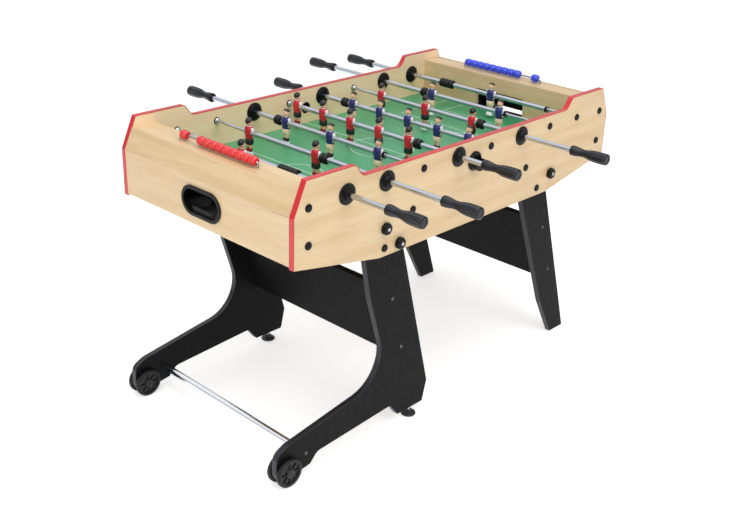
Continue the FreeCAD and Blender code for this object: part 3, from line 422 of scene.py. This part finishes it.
CIRCLE, SPOT = 0.085, 0.005
EDGE_GAP, GOAL_WALL_THICK = 0.001, 0.0125
HALF_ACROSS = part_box("goal_walls")[1].y - FIELD_MIDDLE.y - EDGE_GAP
GOAL_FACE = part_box("goal_walls")[1].x - GOAL_WALL_THICK - FIELD_MIDDLE.x
AREAS = [(0.285, 0.187), (0.407, 0.122)]
BOW_MIDDLE, BOW_RADIUS, BOW_TURN = 0.3143, 0.0713, 65.7
marks = bmesh.new()
mid_x, mid_y = FIELD_MIDDLE.x, FIELD_MIDDLE.y
stripe(marks, [(mid_x, mid_y - HALF_ACROSS), (mid_x, mid_y + HALF_ACROSS)])
stripe(marks, arc((mid_x, mid_y), CIRCLE, 0, 360, 96))
stripe(marks, arc((mid_x, mid_y), SPOT / 2, 0, 360, 24), SPOT / 2)
for end in (-1, 1):
    for reach, half in AREAS:
        front = mid_x + end * reach
        for side in (-1, 1):
            stripe(marks, [(mid_x + end * GOAL_FACE, mid_y + side * half), (front, mid_y + side * half)])
        stripe(marks, [(front, mid_y - half), (front, mid_y + half)])
    facing = 0 if end < 0 else 180
    stripe(marks, arc((mid_x + end * BOW_MIDDLE, mid_y), BOW_RADIUS, facing - BOW_TURN, facing + BOW_TURN))
line_paint = moulded_finish("white_line_print", shade(196, 224, 206), 0.4, 90.0, 0.05, 0.0)
finish_piece("pitch_markings", marks, "cabinet", [line_paint])

# ---- ball return cups and ball entries -----------------------------------------------------------
# Black moulded cups: a wide one in each end board hands back a scored ball, and a round spout in the
# middle of each side panel takes a new ball. They are pressed in from outside.

black_moulding = moulded_finish("black_moulding", shade(8, 8, 10), 0.36, 70.0, 0.10, 0.10, shine=0.18)
softened("return_cups", "cabinet", [black_moulding], round_by=0.0012, rings=3)
softened("entry_cups", "cabinet", [black_moulding], round_by=0.0006)

# ---- rod bearings --------------------------------------------------------------------------------
# Each rod runs in a black nylon bearing: a dished flange on both faces of the panel and a hub that
# stands out round the tube. Three small screws hold the flange.


def islands(node):
    """Lowest and highest corner of each loose solid of a node, in order along X and then Y."""
    shape = cad_copy(node)
    seen, found = set(), []
    for first in shape.verts:
        if first.index in seen:
            continue
        seen.add(first.index)
        group, queue = [first.co.copy()], [first]
        while queue:
            for edge in queue.pop().link_edges:
                for vert in edge.verts:
                    if vert.index not in seen:
                        seen.add(vert.index)
                        queue.append(vert)
                        group.append(vert.co.copy())
        low = Vector([min(p[i] for p in group) for i in range(3)])
        found.append((low, Vector([max(p[i] for p in group) for i in range(3)])))
    shape.free()
    return sorted(found, key=lambda ends: tuple(round(part, 4) for part in ends[0]))


def skin(shape, rings, tint, close_start=True, close_end=True):
    """Faces between rings of points, with its ends closed."""
    rows = [[shape.verts.new(p) for p in ring] for ring in rings]
    count = len(rows[0])
    for first, second in zip(rows, rows[1:]):
        for i in range(count):
            j = (i + 1) % count
            shape.faces.new((first[i], first[j], second[j], second[i])).material_index = tint
    for wanted, ring in ((close_start, rows[0]), (close_end, rows[-1])):
        if wanted:
            shape.faces.new(ring).material_index = tint


def turned(shape, profile, centre, axis="y", way=1, tint=0, steps=32, flutes=0, closed=(True, True)):
    """A turned part: profile of (along, radius) or (along, radius, flute depth) in mm."""
    rings = []
    for point in profile:
        along, radius = point[0] * way / 1000, point[1] / 1000
        depth = point[2] / 1000 if len(point) > 2 else 0
        ring = []
        for i in range(steps):
            angle = 2 * pi * i / steps
            r = radius - depth * (0.5 + 0.5 * cos(flutes * angle)) if flutes else radius
            a, b = r * cos(angle), r * sin(angle)
            offset = {"x": (along, a, b), "y": (a, along, b), "z": (a, b, along)}[axis]
            ring.append(Vector(centre) + Vector(offset))
        rings.append(ring)
    skin(shape, rings, tint, *closed)


def squared_up(shape):
    """Turn every face outward."""
    bmesh.ops.recalc_face_normals(shape, faces=shape.faces)
    return shape


steel = moulded_finish("zinc_steel", shade(178, 181, 186), 0.30, 120.0, 0.06, 0.06, metal=1.0)
mid_table = (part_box("side_panel_front")[0].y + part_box("side_panel_back")[1].y) / 2
PANEL_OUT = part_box("side_panel_back")[1].y - mid_table
PANEL_THICK, RUN_BORE = 15, 6.7
OPEN_ENDS = (False, False)


def seat(ends, out):
    """Which side a small piece is on, and its middle moved to a plane this far from the table's."""
    middle = (ends[0] + ends[1]) / 2
    way = 1 if middle.y > mid_table else -1
    return way, (middle.x, mid_table + way * out, middle.z)


BEARING_OUT = [(0, RUN_BORE), (0, 24.2), (0.6, 25), (2.4, 25), (3.2, 24.2), (3.6, 21.5), (4.0, 15.5),
               (5.0, 14.4), (9.0, 13.6), (11.4, 12.9), (12, 12.0), (12, 8.2), (10.8, 7.2), (10.8, RUN_BORE)]
BEARING_IN = [(-PANEL_THICK, RUN_BORE), (-PANEL_THICK, 24.2), (-15.6, 25), (-17.8, 25), (-18.6, 24.2),
              (-21.4, 16.4), (-22, 15), (-22, RUN_BORE)]
FLANGE_SCREW = [(3.2, 0.1), (3.2, 2.4), (4.3, 2.1), (4.7, 1.2), (4.2, 0.5), (4.2, 0.1)]
FLANGE_SCREWS, SCREW_CIRCLE = 3, 0.0185
bearings = bmesh.new()
for ends in islands("rod_bearings"):
    way, centre = seat(ends, PANEL_OUT)
    turned(bearings, BEARING_OUT, centre, way=way, steps=48, closed=OPEN_ENDS)
    turned(bearings, BEARING_IN, centre, way=way, steps=48, closed=OPEN_ENDS)
    for number in range(FLANGE_SCREWS):
        angle = radians(90 + 360 / FLANGE_SCREWS * number)
        screw_place = (centre[0] + SCREW_CIRCLE * cos(angle), centre[1],
                       centre[2] + SCREW_CIRCLE * sin(angle))
        turned(bearings, FLANGE_SCREW, screw_place, way=way, steps=12)
finish_piece("rod_bearings_shown", squared_up(bearings), "cabinet", [black_moulding, steel],
             ["rod_bearings"])

# ---- guide rods ----------------------------------------------------------------------------------
# The rods are telescopic: a thin chromed steel rod stands out from the far wall inside each tube, with
# a black washer and a chromed domed nut where it is bolted through the panel.

DRAWN_ALONG_Y = (1.0, 0.05, 1.0)
chrome = moulded_finish("bright_chrome", shade(186, 194, 204), 0.16, 30.0, 0.05, 0.02, metal=1.0,
                        stretch=DRAWN_ALONG_Y)
GUIDE_WASHER = [(0, 4), (0, 9.4), (1.2, 9.6), (1.8, 9.0)]
GUIDE_NUT = [(1.8, 4), (1.8, 7.4), (2.6, 8.0), (4.6, 8.0), (6.4, 7.0), (7.6, 5.4), (8.0, 4.0)]
guides = bmesh.new()
INSIDE_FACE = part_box("goal_walls")[1].y - mid_table
for low, high in islands("guide_rods"):
    way, centre = seat((low, high), INSIDE_FACE)
    tip = (low.y if way > 0 else high.y) - mid_table
    reach = abs(way * INSIDE_FACE - tip) * 1000
    turned(guides, GUIDE_WASHER, centre, way=-way, tint=1)
    turned(guides, GUIDE_NUT, centre, way=-way)
    turned(guides, [(-PANEL_THICK, 4), (reach - 0.6, 4), (reach, 3.2)], centre, way=-way, steps=20)
finish_piece("guide_rods_shown", squared_up(guides), "cabinet", [chrome, black_moulding],
             ["guide_rods"])

# ---- panel bolts ---------------------------------------------------------------------------------
# Furniture bolts with black domed caps hold the end boards and field between the panels, and the same
# caps cover the guide rods' nuts.

CAP = [(0, 9.5), (1.4, 9.5), (2.8, 8.9), (3.7, 7.4), (4.0, 5.2), (4.0, 3.0), (2.9, 2.4), (2.9, 0.1)]
caps = bmesh.new()
for ends in islands("panel_bolts"):
    way, centre = seat(ends, PANEL_OUT)
    turned(caps, CAP, centre, way=way, steps=28)
finish_piece("panel_bolts_shown", squared_up(caps), "cabinet", [black_moulding],
             ["panel_bolts"])

# ---- leg bolts -----------------------------------------------------------------------------------
# The legs turn on four plain-capped bolts, with a spacer and washer inside. Beside them black knobs
# with a steel spring pin lock the legs open or folded.

KNOB = [(0, 13.0), (1.0, 14.6, 0.4), (3.0, 15.0, 1.3), (8.0, 15.0, 1.3), (10.6, 13.9, 0.9), (12, 11.6, 0.2),
        (12, 6.4), (11.2, 5.4), (11.2, 0.1)]
PIN = [(10.0, 4.4), (13.2, 4.4), (14.0, 3.6), (14.0, 0.1)]
CAP_AT_MOST, SHANK, NUT_HIGH, SPACER_BACK = 0.006, 4.0, 6, 16.6
bolts = bmesh.new()
for low, high in islands("leg_bolts"):
    way, centre = seat((low, high), PANEL_OUT)
    outer = (high.y if way > 0 else low.y) - mid_table
    inner = (low.y if way > 0 else high.y) - mid_table
    inward = (way * inner - PANEL_OUT) * 1000
    if way * outer - PANEL_OUT > CAP_AT_MOST:
        turned(bolts, KNOB, centre, way=way, steps=72, flutes=9)
        turned(bolts, PIN, centre, way=way, tint=1, steps=20)
        turned(bolts, [(-PANEL_THICK, SHANK), (inward + 0.6, SHANK), (inward, 3.2)], centre, way=way, tint=1,
               steps=20)
    else:
        turned(bolts, CAP, centre, way=way, steps=28)
        leg_face = inward + NUT_HIGH
        spacer_end = leg_face + SPACER_BACK
        turned(bolts, [(-PANEL_THICK, 11), (spacer_end, 11), (spacer_end, SHANK)], centre, way=way, steps=28)
        turned(bolts, [(spacer_end, SHANK), (leg_face, SHANK)], centre, way=way, tint=1, steps=20)
        turned(bolts, [(leg_face - 0.3, 7.6), (leg_face - 4.6, 8.0), (inward, 6.4), (inward, 0.1)], centre,
               way=way, tint=1, steps=6)
finish_piece("leg_bolts_shown", squared_up(bolts), "cabinet", [black_moulding, steel],
             ["leg_bolts"])

# ---- scorers -------------------------------------------------------------------------------------
# A steel wire, bent down at both ends and pressed into each ledge, carries ten ridged plastic beads,
# red at the near end and blue at the far one. Nine sit together and one has been slid across.

wire_steel = moulded_finish("wire_steel", shade(160, 165, 172), 0.24, 60.0, 0.06, 0.04, metal=1.0)
WIRE_RADIUS, WIRE_BEND, BEND_STEPS, WIRE_SIDES = 0.0025, 0.006, 6, 16


def bent_wire(shape, low, high):
    """A wire along Y at the top of a box, turned down at both ends to the box's floor."""
    x, top = (low.x + high.x) / 2, high.z - WIRE_RADIUS
    starts = ((low.y + WIRE_RADIUS, 1), (high.y - WIRE_RADIUS, -1))
    path = []
    for y, way in starts:
        leg = [(y, low.z, 0.0)]
        for step in range(BEND_STEPS + 1):
            turn = pi / 2 * step / BEND_STEPS
            leg.append((y + way * WIRE_BEND * (1 - cos(turn)), top - WIRE_BEND * (1 - sin(turn)), turn))
        path.append([(across, height, turn if way > 0 else -turn) for across, height, turn in leg])
    rings = []
    for half, flip in ((path[0], 1), (path[1][::-1], -1)):
        for y, z, turn in half:
            ring = []
            for number in range(WIRE_SIDES):
                angle = 2 * pi * number / WIRE_SIDES
                out = WIRE_RADIUS * sin(angle) * flip
                ring.append((x + WIRE_RADIUS * cos(angle), y - out * cos(turn), z + out * sin(turn)))
            rings.append(ring)
    skin(shape, rings, 0)


wires = bmesh.new()
for low, high in islands("scorer_wires"):
    bent_wire(wires, low, high)
finish_piece("scorer_wires_shown", squared_up(wires), "cabinet", [wire_steel], ["scorer_wires"])

red_gloss = moulded_finish("red_bead_plastic", shade(214, 28, 34), 0.25, 90.0, 0.05, 0.05, gloss=0.4)
blue_gloss = moulded_finish("blue_bead_plastic", shade(36, 66, 214), 0.25, 90.0, 0.05, 0.05, gloss=0.4)
BEAD = [(-11.4, 2.7), (-11.4, 6.4), (-10.2, 8.6, 0.3), (-7.6, 10.5, 0.9), (-4.2, 11.4, 1.2), (0, 11.5, 1.2),
        (4.2, 11.4, 1.2), (7.6, 10.5, 0.9), (10.2, 8.6, 0.3), (11.4, 6.4), (11.4, 2.7)]
BEAD_SETS = [("beads_red", "cabinet", "red_plastic", red_gloss),
             ("beads_blue", "cabinet", "blue_plastic", blue_gloss),
             ("bead_red_scored", "bead_red", "red_plastic", red_gloss),
             ("bead_blue_scored", "bead_blue", "blue_plastic", blue_gloss)]
for node, body, slot, plastic in BEAD_SETS:
    beads = bmesh.new()
    for low, high in islands(node):
        turned(beads, BEAD, (low + high) / 2, steps=60, flutes=10, closed=OPEN_ENDS)
    finish_piece(node + "_shown", squared_up(beads), body, [plastic], [node], crease=50)

# ---- player rods: tubes --------------------------------------------------------------------------
# Eight chromed steel tubes slide and spin in the bearings. The far team's tubes end in a short
# black ring.

ROD_NUMBERS = range(1, 9)
FAR_TEAM = (3, 5, 7, 8)
TUBE_MOUTH = [(12, 4.2), (0.3, 4.2), (0, 4.6), (0, 6.0), (0.5, 6.5)]
TUBE_RING = [(0.4, 6.5), (0.4, 7.8), (1.0, 8.4), (8.0, 8.4), (8.8, 7.8), (8.8, 6.5)]


def rod_side(number):
    """1 for a rod gripped at the back of the table, -1 for one gripped at the front."""
    low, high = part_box("rod_%d_grip" % number)
    return 1 if (low.y + high.y) / 2 > mid_table else -1


for number in ROD_NUMBERS:
    label = "rod_%d" % number
    way = rod_side(number)
    low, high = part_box(label + "_tube")
    centre = ((low.x + high.x) / 2, low.y if way > 0 else high.y, (low.z + high.z) / 2)
    long = (high.y - low.y) * 1000
    tube = bmesh.new()
    turned(tube, TUBE_MOUTH + [(long, 6.5), (long, 5)], centre, way=way, closed=OPEN_ENDS)
    if number in FAR_TEAM:
        turned(tube, TUBE_RING, centre, way=way, tint=1, closed=OPEN_ENDS)
    finish_piece(label + "_tube_shown", squared_up(tube), label, [chrome, black_moulding],
                 [label + "_tube"])

# ---- player rods: bumpers ------------------------------------------------------------------------
# Ribbed black rubber sleeves on the tubes cushion the outer players against the panels. The first
# rod's sleeve is long and plain.

soft_rubber = moulded_finish("bumper_rubber", shade(9, 10, 14), 0.42, 80.0, 0.12, 0.2, shine=0.3)
PLAIN_SLEEVE = 1
RIB_PITCH, RIB_DEPTH = 12, 4.2
RIB = [(0.05, 2.9), (0.16, 0.8), (0.32, 0.0), (0.68, 0.0), (0.84, 0.8), (0.95, 2.9), (1.0, RIB_DEPTH)]
for number in ROD_NUMBERS:
    label = "rod_%d" % number
    low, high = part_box(label + "_bumper")
    long = (high.y - low.y) * 1000
    outer = (high.x - low.x) * 500
    centre = ((low.x + high.x) / 2, low.y, (low.z + high.z) / 2)
    if number == PLAIN_SLEEVE:
        profile = [(0, RUN_BORE), (0, outer - 1.6), (0.5, outer - 0.5), (1.8, outer), (long - 1.8, outer),
                   (long - 0.5, outer - 0.5), (long, outer - 1.6), (long, RUN_BORE)]
    else:
        ribs = max(2, round(long / RIB_PITCH))
        pitch = long / ribs
        profile = [(0, RUN_BORE), (0, outer - RIB_DEPTH)]
        for rib in range(ribs):
            profile += [(rib * pitch + pitch * part, outer - drop) for part, drop in RIB]
        profile.append((long, RUN_BORE))
    bumper = bmesh.new()
    turned(bumper, profile, centre, steps=36, closed=OPEN_ENDS)
    finish_piece(label + "_bumper_shown", squared_up(bumper), label + "_slide", [soft_rubber],
                 [label + "_bumper"], crease=45)

# ---- player rods: grips --------------------------------------------------------------------------
# Moulded dark grips pushed on to the tubes: a flared collar, a narrow neck and a fluted barrel.

grip_plastic = moulded_finish("grip_plastic", shade(11, 14, 24), 0.30, 90.0, 0.08, 0.10, shine=0.4)
GRIP = [(0, 6.6), (0, 11.3), (0.8, 12.5), (3.0, 13.0), (10, 12.8), (16, 12.2), (23, 11.1), (30, 10.1),
        (36, 9.8), (42, 10.2), (48, 11.4, 0.2), (55, 13.1, 0.6), (62, 14.2, 1.0), (72, 14.8, 1.2),
        (84, 15.0, 1.2), (94, 14.9, 1.0), (99, 14.6, 0.4), (101.6, 13.9), (103, 12.2), (103, 8.2),
        (101.8, 7.6), (101.8, 0.1)]
for number in ROD_NUMBERS:
    label = "rod_%d" % number
    way = rod_side(number)
    low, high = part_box(label + "_grip")
    centre = ((low.x + high.x) / 2, low.y if way > 0 else high.y, (low.z + high.z) / 2)
    grip = bmesh.new()
    turned(grip, GRIP, centre, way=way, steps=80, flutes=10, closed=(False, True))
    finish_piece(label + "_grip_shown", squared_up(grip), label, [grip_plastic],
                 [label + "_grip"], crease=40)

# ---- players -------------------------------------------------------------------------------------
# Little moulded players pressed on to the tubes, painted as two teams: red shirts with black shorts,
# and navy shirts with cream shorts. Their faces are plain and the same on all.

PAINTS = {
    "skin": ((232, 183, 150), 0.45), "hair": ((10, 9, 11), 0.5), "white": ((236, 236, 238), 0.4),
    "red": ((196, 28, 46), 0.4), "navy": ((34, 40, 104), 0.4), "black": ((24, 24, 28), 0.4),
    "cream": ((232, 208, 176), 0.45), "maroon": ((150, 30, 40), 0.4), "eye": ((40, 30, 28), 0.3),
}
paint = {name: moulded_finish("player_" + name, shade(*colour), rough, 220.0, 0.05, 0.06)
         for name, (colour, rough) in PAINTS.items()}
COATS = ["skin", "hair", "shirt", "sleeve", "shorts", "thigh", "sock", "boot", "eye"]
TEAMS = {
    "red": dict(shirt="red", sleeve="white", shorts="black", thigh="skin", sock="maroon", boot="white"),
    "blue": dict(shirt="navy", sleeve="white", shorts="cream", thigh="cream", sock="black", boot="white"),
}


def rounded_ring(centre, half_x, half_y, power=2.6, steps=20):
    """A level ring between an ellipse and a rectangle."""
    ring = []
    for i in range(steps):
        c, s = cos(2 * pi * i / steps), sin(2 * pi * i / steps)
        swell = (abs(c) ** power + abs(s) ** power) ** (-1 / power)
        ring.append(Vector(centre) + Vector((half_x * c * swell, half_y * s * swell, 0)))
    return ring


def stacked(shape, origin, levels, tint, facing=1, power=2.6, steps=20, shift_y=0.0):
    """A body of level rings: each level is (z, forward, half depth, half width) in mm."""
    rings = []
    for z, forward, half_x, half_y in levels:
        centre = Vector(origin) + Vector((facing * forward, shift_y, z)) / 1000
        rings.append(rounded_ring(centre, half_x / 1000, half_y / 1000, power, steps))
    skin(shape, rings, tint)


CROWN, CHIN = 0.05, pi * 0.985


def ball(shape, centre, radii, tint, reach=None, rows=9, steps=16):
    """An ellipsoid, or a cap of one: reach gives the angle from the top at a direction."""
    rings = []
    for row in range(rows + 1):
        ring = []
        for i in range(steps):
            turn = 2 * pi * i / steps
            low = radians(reach(turn)) if reach else CHIN
            angle = CROWN + (low - CROWN) * row / rows
            offset = (radii[0] * sin(angle) * cos(turn), radii[1] * sin(angle) * sin(turn),
                      radii[2] * cos(angle))
            ring.append(Vector(centre) + Vector(offset) / 1000)
        rings.append(ring)
    skin(shape, rings, tint)


TRUNK = [(-18, 0, 7.6, 10.4), (-15, 0, 8.2, 10.9), (-8, 0, 9.0, 11.6), (0, 0.2, 9.6, 12.3),
         (6, 0.2, 9.2, 12.9), (10, 0, 8.4, 13.0), (13, -0.2, 7.0, 12.0), (15, -0.2, 5.4, 9.0),
         (15.8, -0.2, 4.2, 6.0)]
NECK = [(13.5, 0, 4.0, 4.2), (19, 0.2, 3.8, 4.0)]
COLLAR = [(14.8, -0.1, 4.9, 6.4), (16.2, 0, 5.0, 5.8), (16.8, 0, 4.4, 5.0)]
SLEEVE = [(-1.0, 0, 3.2, 2.0), (-0.4, 0, 4.0, 2.7), (5, 0, 4.5, 3.0), (10.5, 0, 4.3, 2.8),
          (13.4, 0, 3.0, 1.9)]
ARM = [(-12.5, 1.4, 2.2, 1.4), (-11.4, 1.4, 3.0, 2.0), (-5, 0.9, 3.0, 2.1), (0.4, 0.2, 3.1, 2.2)]
SHORTS = [(-31.5, 0, 7.6, 10.4), (-31, 0, 8.2, 11.2), (-25, 0, 8.4, 11.5), (-17, 0, 8.0, 10.8),
          (-16.4, 0, 7.6, 10.4)]
THIGH = [(-43, 0.3, 4.6, 3.9), (-38, 0.2, 5.2, 4.3), (-30, 0, 5.6, 4.8)]
SOCK = [(-53, 0.2, 4.8, 4.1), (-48, -0.2, 5.4, 4.4), (-44, -0.1, 5.6, 4.5), (-41.6, 0.1, 5.4, 4.4),
        (-41.2, 0.1, 4.8, 4.0)]
BOOT = [(-60.5, 0.6, 6.8, 9.2), (-59.8, 0.6, 7.6, 10.0), (-54, 0.4, 7.2, 9.8), (-51.5, 0.2, 6.2, 9.2),
        (-50.6, 0, 5.2, 8.2)]
SHOULDER, HIP, HEAD_Z = 12.3, 4.8, 25.2
HAIR = {"red": ((-0.8, 3.4), (9.7, 9.5, 10.4)), "blue": ((-0.4, 4.6), (9.9, 9.8, 6.6))}
HEAD, NOSE, EYE, EAR = (8.4, 7.9, 9.6), (1.5, 1.1, 1.7), (0.8, 0.9, 0.6), (1.6, 0.9, 2.2)
NOSE_OUT, EYE_OUT, EYE_APART, EYE_UP, EAR_APART, FACE_DOWN = 8.3, 7.5, 3.0, 0.2, 7.9, -1.4


def hairline(facing):
    """How far down the hair comes all round the head: lower at the nape than at the brow."""
    return lambda turn: 84 - 34 * facing * cos(turn)


def figure(shape, place, facing, team):
    """One player standing on the tube at a place, facing along X."""
    tint = {name: index for index, name in enumerate(COATS)}
    stacked(shape, place, TRUNK, tint["shirt"], facing, 3.0)
    stacked(shape, place, COLLAR, tint["sleeve"], facing, 2.2, 16)
    stacked(shape, place, NECK, tint["skin"], facing, 2.0, 12)
    stacked(shape, place, SHORTS, tint["shorts"], facing, 3.2)
    stacked(shape, place, BOOT, tint["boot"], facing, 3.4)
    for side in (-1, 1):
        stacked(shape, place, SLEEVE, tint["sleeve"], facing, 2.2, 12, side * SHOULDER)
        stacked(shape, place, ARM, tint["skin"], facing, 2.2, 10, side * SHOULDER)
        stacked(shape, place, THIGH, tint["thigh"], facing, 2.2, 12, side * HIP)
        stacked(shape, place, SOCK, tint["sock"], facing, 2.2, 12, side * HIP)
    head = Vector(place) + Vector((0, 0, HEAD_Z)) / 1000
    ball(shape, head, HEAD, tint["skin"])
    (back_by, up_by), radii = HAIR[team]
    hair_at = head + Vector((facing * back_by, 0, up_by)) / 1000
    ball(shape, hair_at, radii, tint["hair"], hairline(facing))
    ball(shape, head + Vector((facing * NOSE_OUT, 0, FACE_DOWN)) / 1000, NOSE, tint["skin"], rows=5, steps=8)
    for side in (-1, 1):
        eye_at = head + Vector((facing * EYE_OUT, side * EYE_APART, EYE_UP)) / 1000
        ear_at = head + Vector((0, side * EAR_APART, FACE_DOWN)) / 1000
        ball(shape, eye_at, EYE, tint["eye"], rows=4, steps=8)
        ball(shape, ear_at, EAR, tint["skin"], rows=5, steps=8)


for number in ROD_NUMBERS:
    label = "rod_%d" % number
    team = "blue" if number in FAR_TEAM else "red"
    tube_low, tube_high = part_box(label + "_tube")
    men = bmesh.new()
    for low, high in islands(label + "_players"):
        place = ((low.x + high.x) / 2, (low.y + high.y) / 2, (tube_low.z + tube_high.z) / 2)
        figure(men, place, 1 if team == "red" else -1, team)
    coats = [paint[TEAMS[team].get(coat, coat)] for coat in COATS]
    finish_piece(label + "_players_shown", squared_up(men), label, coats,
                 [label + "_players"], crease=50)

# ---- near legs and their base --------------------------------------------------------------------
# Two swept legs of black-faced board with a dark plastic edging, joined by a tilted cross panel and a
# chromed foot rail, all held with small zinc screws.

BLACK_LAMINATE = [shade(19, 19, 21), shade(14, 14, 16), shade(10, 10, 12)]
UPRIGHT = (8.0, 8.0, 1.4)
black_board = board_finish("black_board", UPRIGHT, *BLACK_LAMINATE, (0.48, 0.60), relief=0.2, shine=0.1)
leg_edging = moulded_finish("leg_edging", shade(34, 35, 42), 0.38, 25.0, 0.05, 0.05, shine=0.4)


def edged(face):
    """0 for a leg's flat laminate faces, 1 for its edging."""
    return 0 if abs(face.normal.y) > 0.95 else 1


softened("near_legs", "base", [black_board, leg_edging], round_by=0.0012, pick=edged)
softened("near_cross_panel", "base", [black_board], round_by=0.0009)

rail_low, rail_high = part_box("foot_rail")
rail_long = (rail_high.y - rail_low.y) * 1000
rail_at = ((rail_low.x + rail_high.x) / 2, rail_low.y, (rail_low.z + rail_high.z) / 2)
rail_radius = (rail_high.z - rail_low.z) * 500
RAIL_ROUND = 1.5
rail_chrome = moulded_finish("rail_chrome", shade(226, 230, 236), 0.15, 30.0, 0.05, 0.02, metal=1.0,
                             stretch=DRAWN_ALONG_Y)
rail = bmesh.new()
turned(rail, [(0, rail_radius - RAIL_ROUND), (RAIL_ROUND, rail_radius), (rail_long - RAIL_ROUND, rail_radius),
              (rail_long, rail_radius - RAIL_ROUND)], rail_at, steps=48)
finish_piece("foot_rail_shown", squared_up(rail), "base", [rail_chrome], ["foot_rail"])

dull_zinc = moulded_finish("dull_zinc", shade(92, 94, 100), 0.42, 120.0, 0.06, 0.06, metal=1.0)
SCREW = [(0, 5.0), (0.6, 4.9), (1.6, 4.0), (2.0, 2.8), (2.0, 1.6), (1.2, 1.2), (1.2, 0.1)]
for node, body in (("leg_screws", "base"), ("far_leg_screws", "far_legs")):
    screws = bmesh.new()
    for low, high in islands(node):
        middle = (low + high) / 2
        way = 1 if middle.y > mid_table else -1
        seat = low.y if way > 0 else high.y
        turned(screws, SCREW, (middle.x, seat, middle.z), way=way, steps=20)
    finish_piece(node + "_shown", squared_up(screws), body, [dull_zinc], [node])

# ---- transport wheels ----------------------------------------------------------------------------
# Twin black wheels on an axle through each near leg's toe, with a dished web, ribs and a hub cap.

wheel_black = moulded_finish("wheel_plastic", shade(15, 15, 17), 0.38, 60.0, 0.12, 0.16, shine=0.35)
tyre_black = moulded_finish("wheel_tread", shade(13, 13, 14), 0.5, 60.0, 0.12, 0.25, shine=0.3)
WHEEL_RIBS, WHEEL_THICK = 8, 13.0
for label in ("front", "back"):
    low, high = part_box("wheels_" + label)
    middle = (low + high) / 2
    outer = (high.y - low.y) * 500
    radius = (high.z - low.z) * 500
    inner = outer - WHEEL_THICK
    tyre = [(inner, 5), (inner, radius - 3), (inner + 1, radius - 1), (inner + 3, radius),
            (outer - 3, radius), (outer - 1, radius - 1), (outer, radius - 3), (outer, radius - 6.5),
            (outer - 0.8, radius - 7.2)]
    web_and_hub = [(outer - 0.8, radius - 7.2), (outer - 1.4, radius - 9), (outer - 4.6, radius - 10),
                   (outer - 4.6, 12.5), (outer - 1.2, 11.5), (outer - 0.5, 10.8), (outer, 8.5), (outer, 4),
                   (outer - 0.8, 3.4), (outer - 0.8, 0.1)]
    pair = bmesh.new()
    for way in (-1, 1):
        turned(pair, tyre, middle, way=way, tint=1, steps=56, closed=OPEN_ENDS)
        turned(pair, web_and_hub, middle, way=way, steps=56, closed=(False, True))
        for rib in range(WHEEL_RIBS):
            angle = 2 * pi * rib / WHEEL_RIBS
            along = Vector((cos(angle), 0, sin(angle)))
            across = Vector((-sin(angle), 0, cos(angle)))
            web, ridge = outer - 4.7, outer - 1.6
            rings = []
            for reach, half in ((11.0, 1.7), (radius - 9.2, 1.3)):
                foot = middle + along * (reach / 1000)
                rings.append([foot + across * (s * half / 1000) + Vector((0, way * level / 1000, 0))
                              for s, level in ((-1, web), (-0.6, ridge), (0.6, ridge), (1, web))])
            skin(pair, rings, 0)
    turned(pair, [(-inner - 1, 4.9), (inner + 1, 4.9)], middle, steps=20)
    finish_piece("wheels_%s_shown" % label, squared_up(pair), "wheels_" + label,
                 [wheel_black, tyre_black], ["wheels_" + label])

# ---- levelers ------------------------------------------------------------------------------------
# Threaded feet under the near legs: a black plastic pad with a hexagon for turning and a zinc screw.

foot_plastic = moulded_finish("leveler_plastic", shade(44, 45, 49), 0.42, 70.0, 0.1, 0.15, shine=0.4)
PAD = [(0, 17.5), (0.6, 18.6), (2.0, 19.8), (4.0, 20.0), (5.4, 19.2), (6.6, 16.0), (8.0, 11.0)]
HEXAGON = [(7.6, 9.6), (8.6, 10.4), (13.2, 10.4), (14.2, 9.4)]
THREAD_START, THREAD_STOP, THREAD_PITCH = 13.0, 0.8, 1.5
THREAD_ROOT, THREAD_CREST, THREAD_TIP = 3.4, 3.98, 3.2
for label in ("front", "back"):
    node = "leveler_" + label
    low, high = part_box(node)
    centre = ((low.x + high.x) / 2, (low.y + high.y) / 2, low.z)
    long = (high.z - low.z) * 1000
    foot = bmesh.new()
    turned(foot, PAD, centre, axis="z", steps=40)
    turned(foot, HEXAGON, centre, axis="z", steps=6)
    thread = []
    level = THREAD_START
    while level < long - THREAD_STOP:
        thread += [(level, THREAD_ROOT), (level + THREAD_PITCH * 0.5, THREAD_CREST)]
        level += THREAD_PITCH
    turned(foot, thread + [(long, THREAD_TIP)], centre, axis="z", tint=1, steps=20)
    finish_piece(node + "_shown", squared_up(foot), node, [foot_plastic, steel], [node],
                 crease=30)

# ---- far legs ------------------------------------------------------------------------------------
# Two straight tapered legs of the same black board with their own cross panel. They fold up under
# the cabinet when it is tipped on end.

softened("far_legs", "far_legs", [black_board, leg_edging], round_by=0.0012, pick=edged)
softened("far_cross_panel", "far_legs", [black_board], round_by=0.0009)
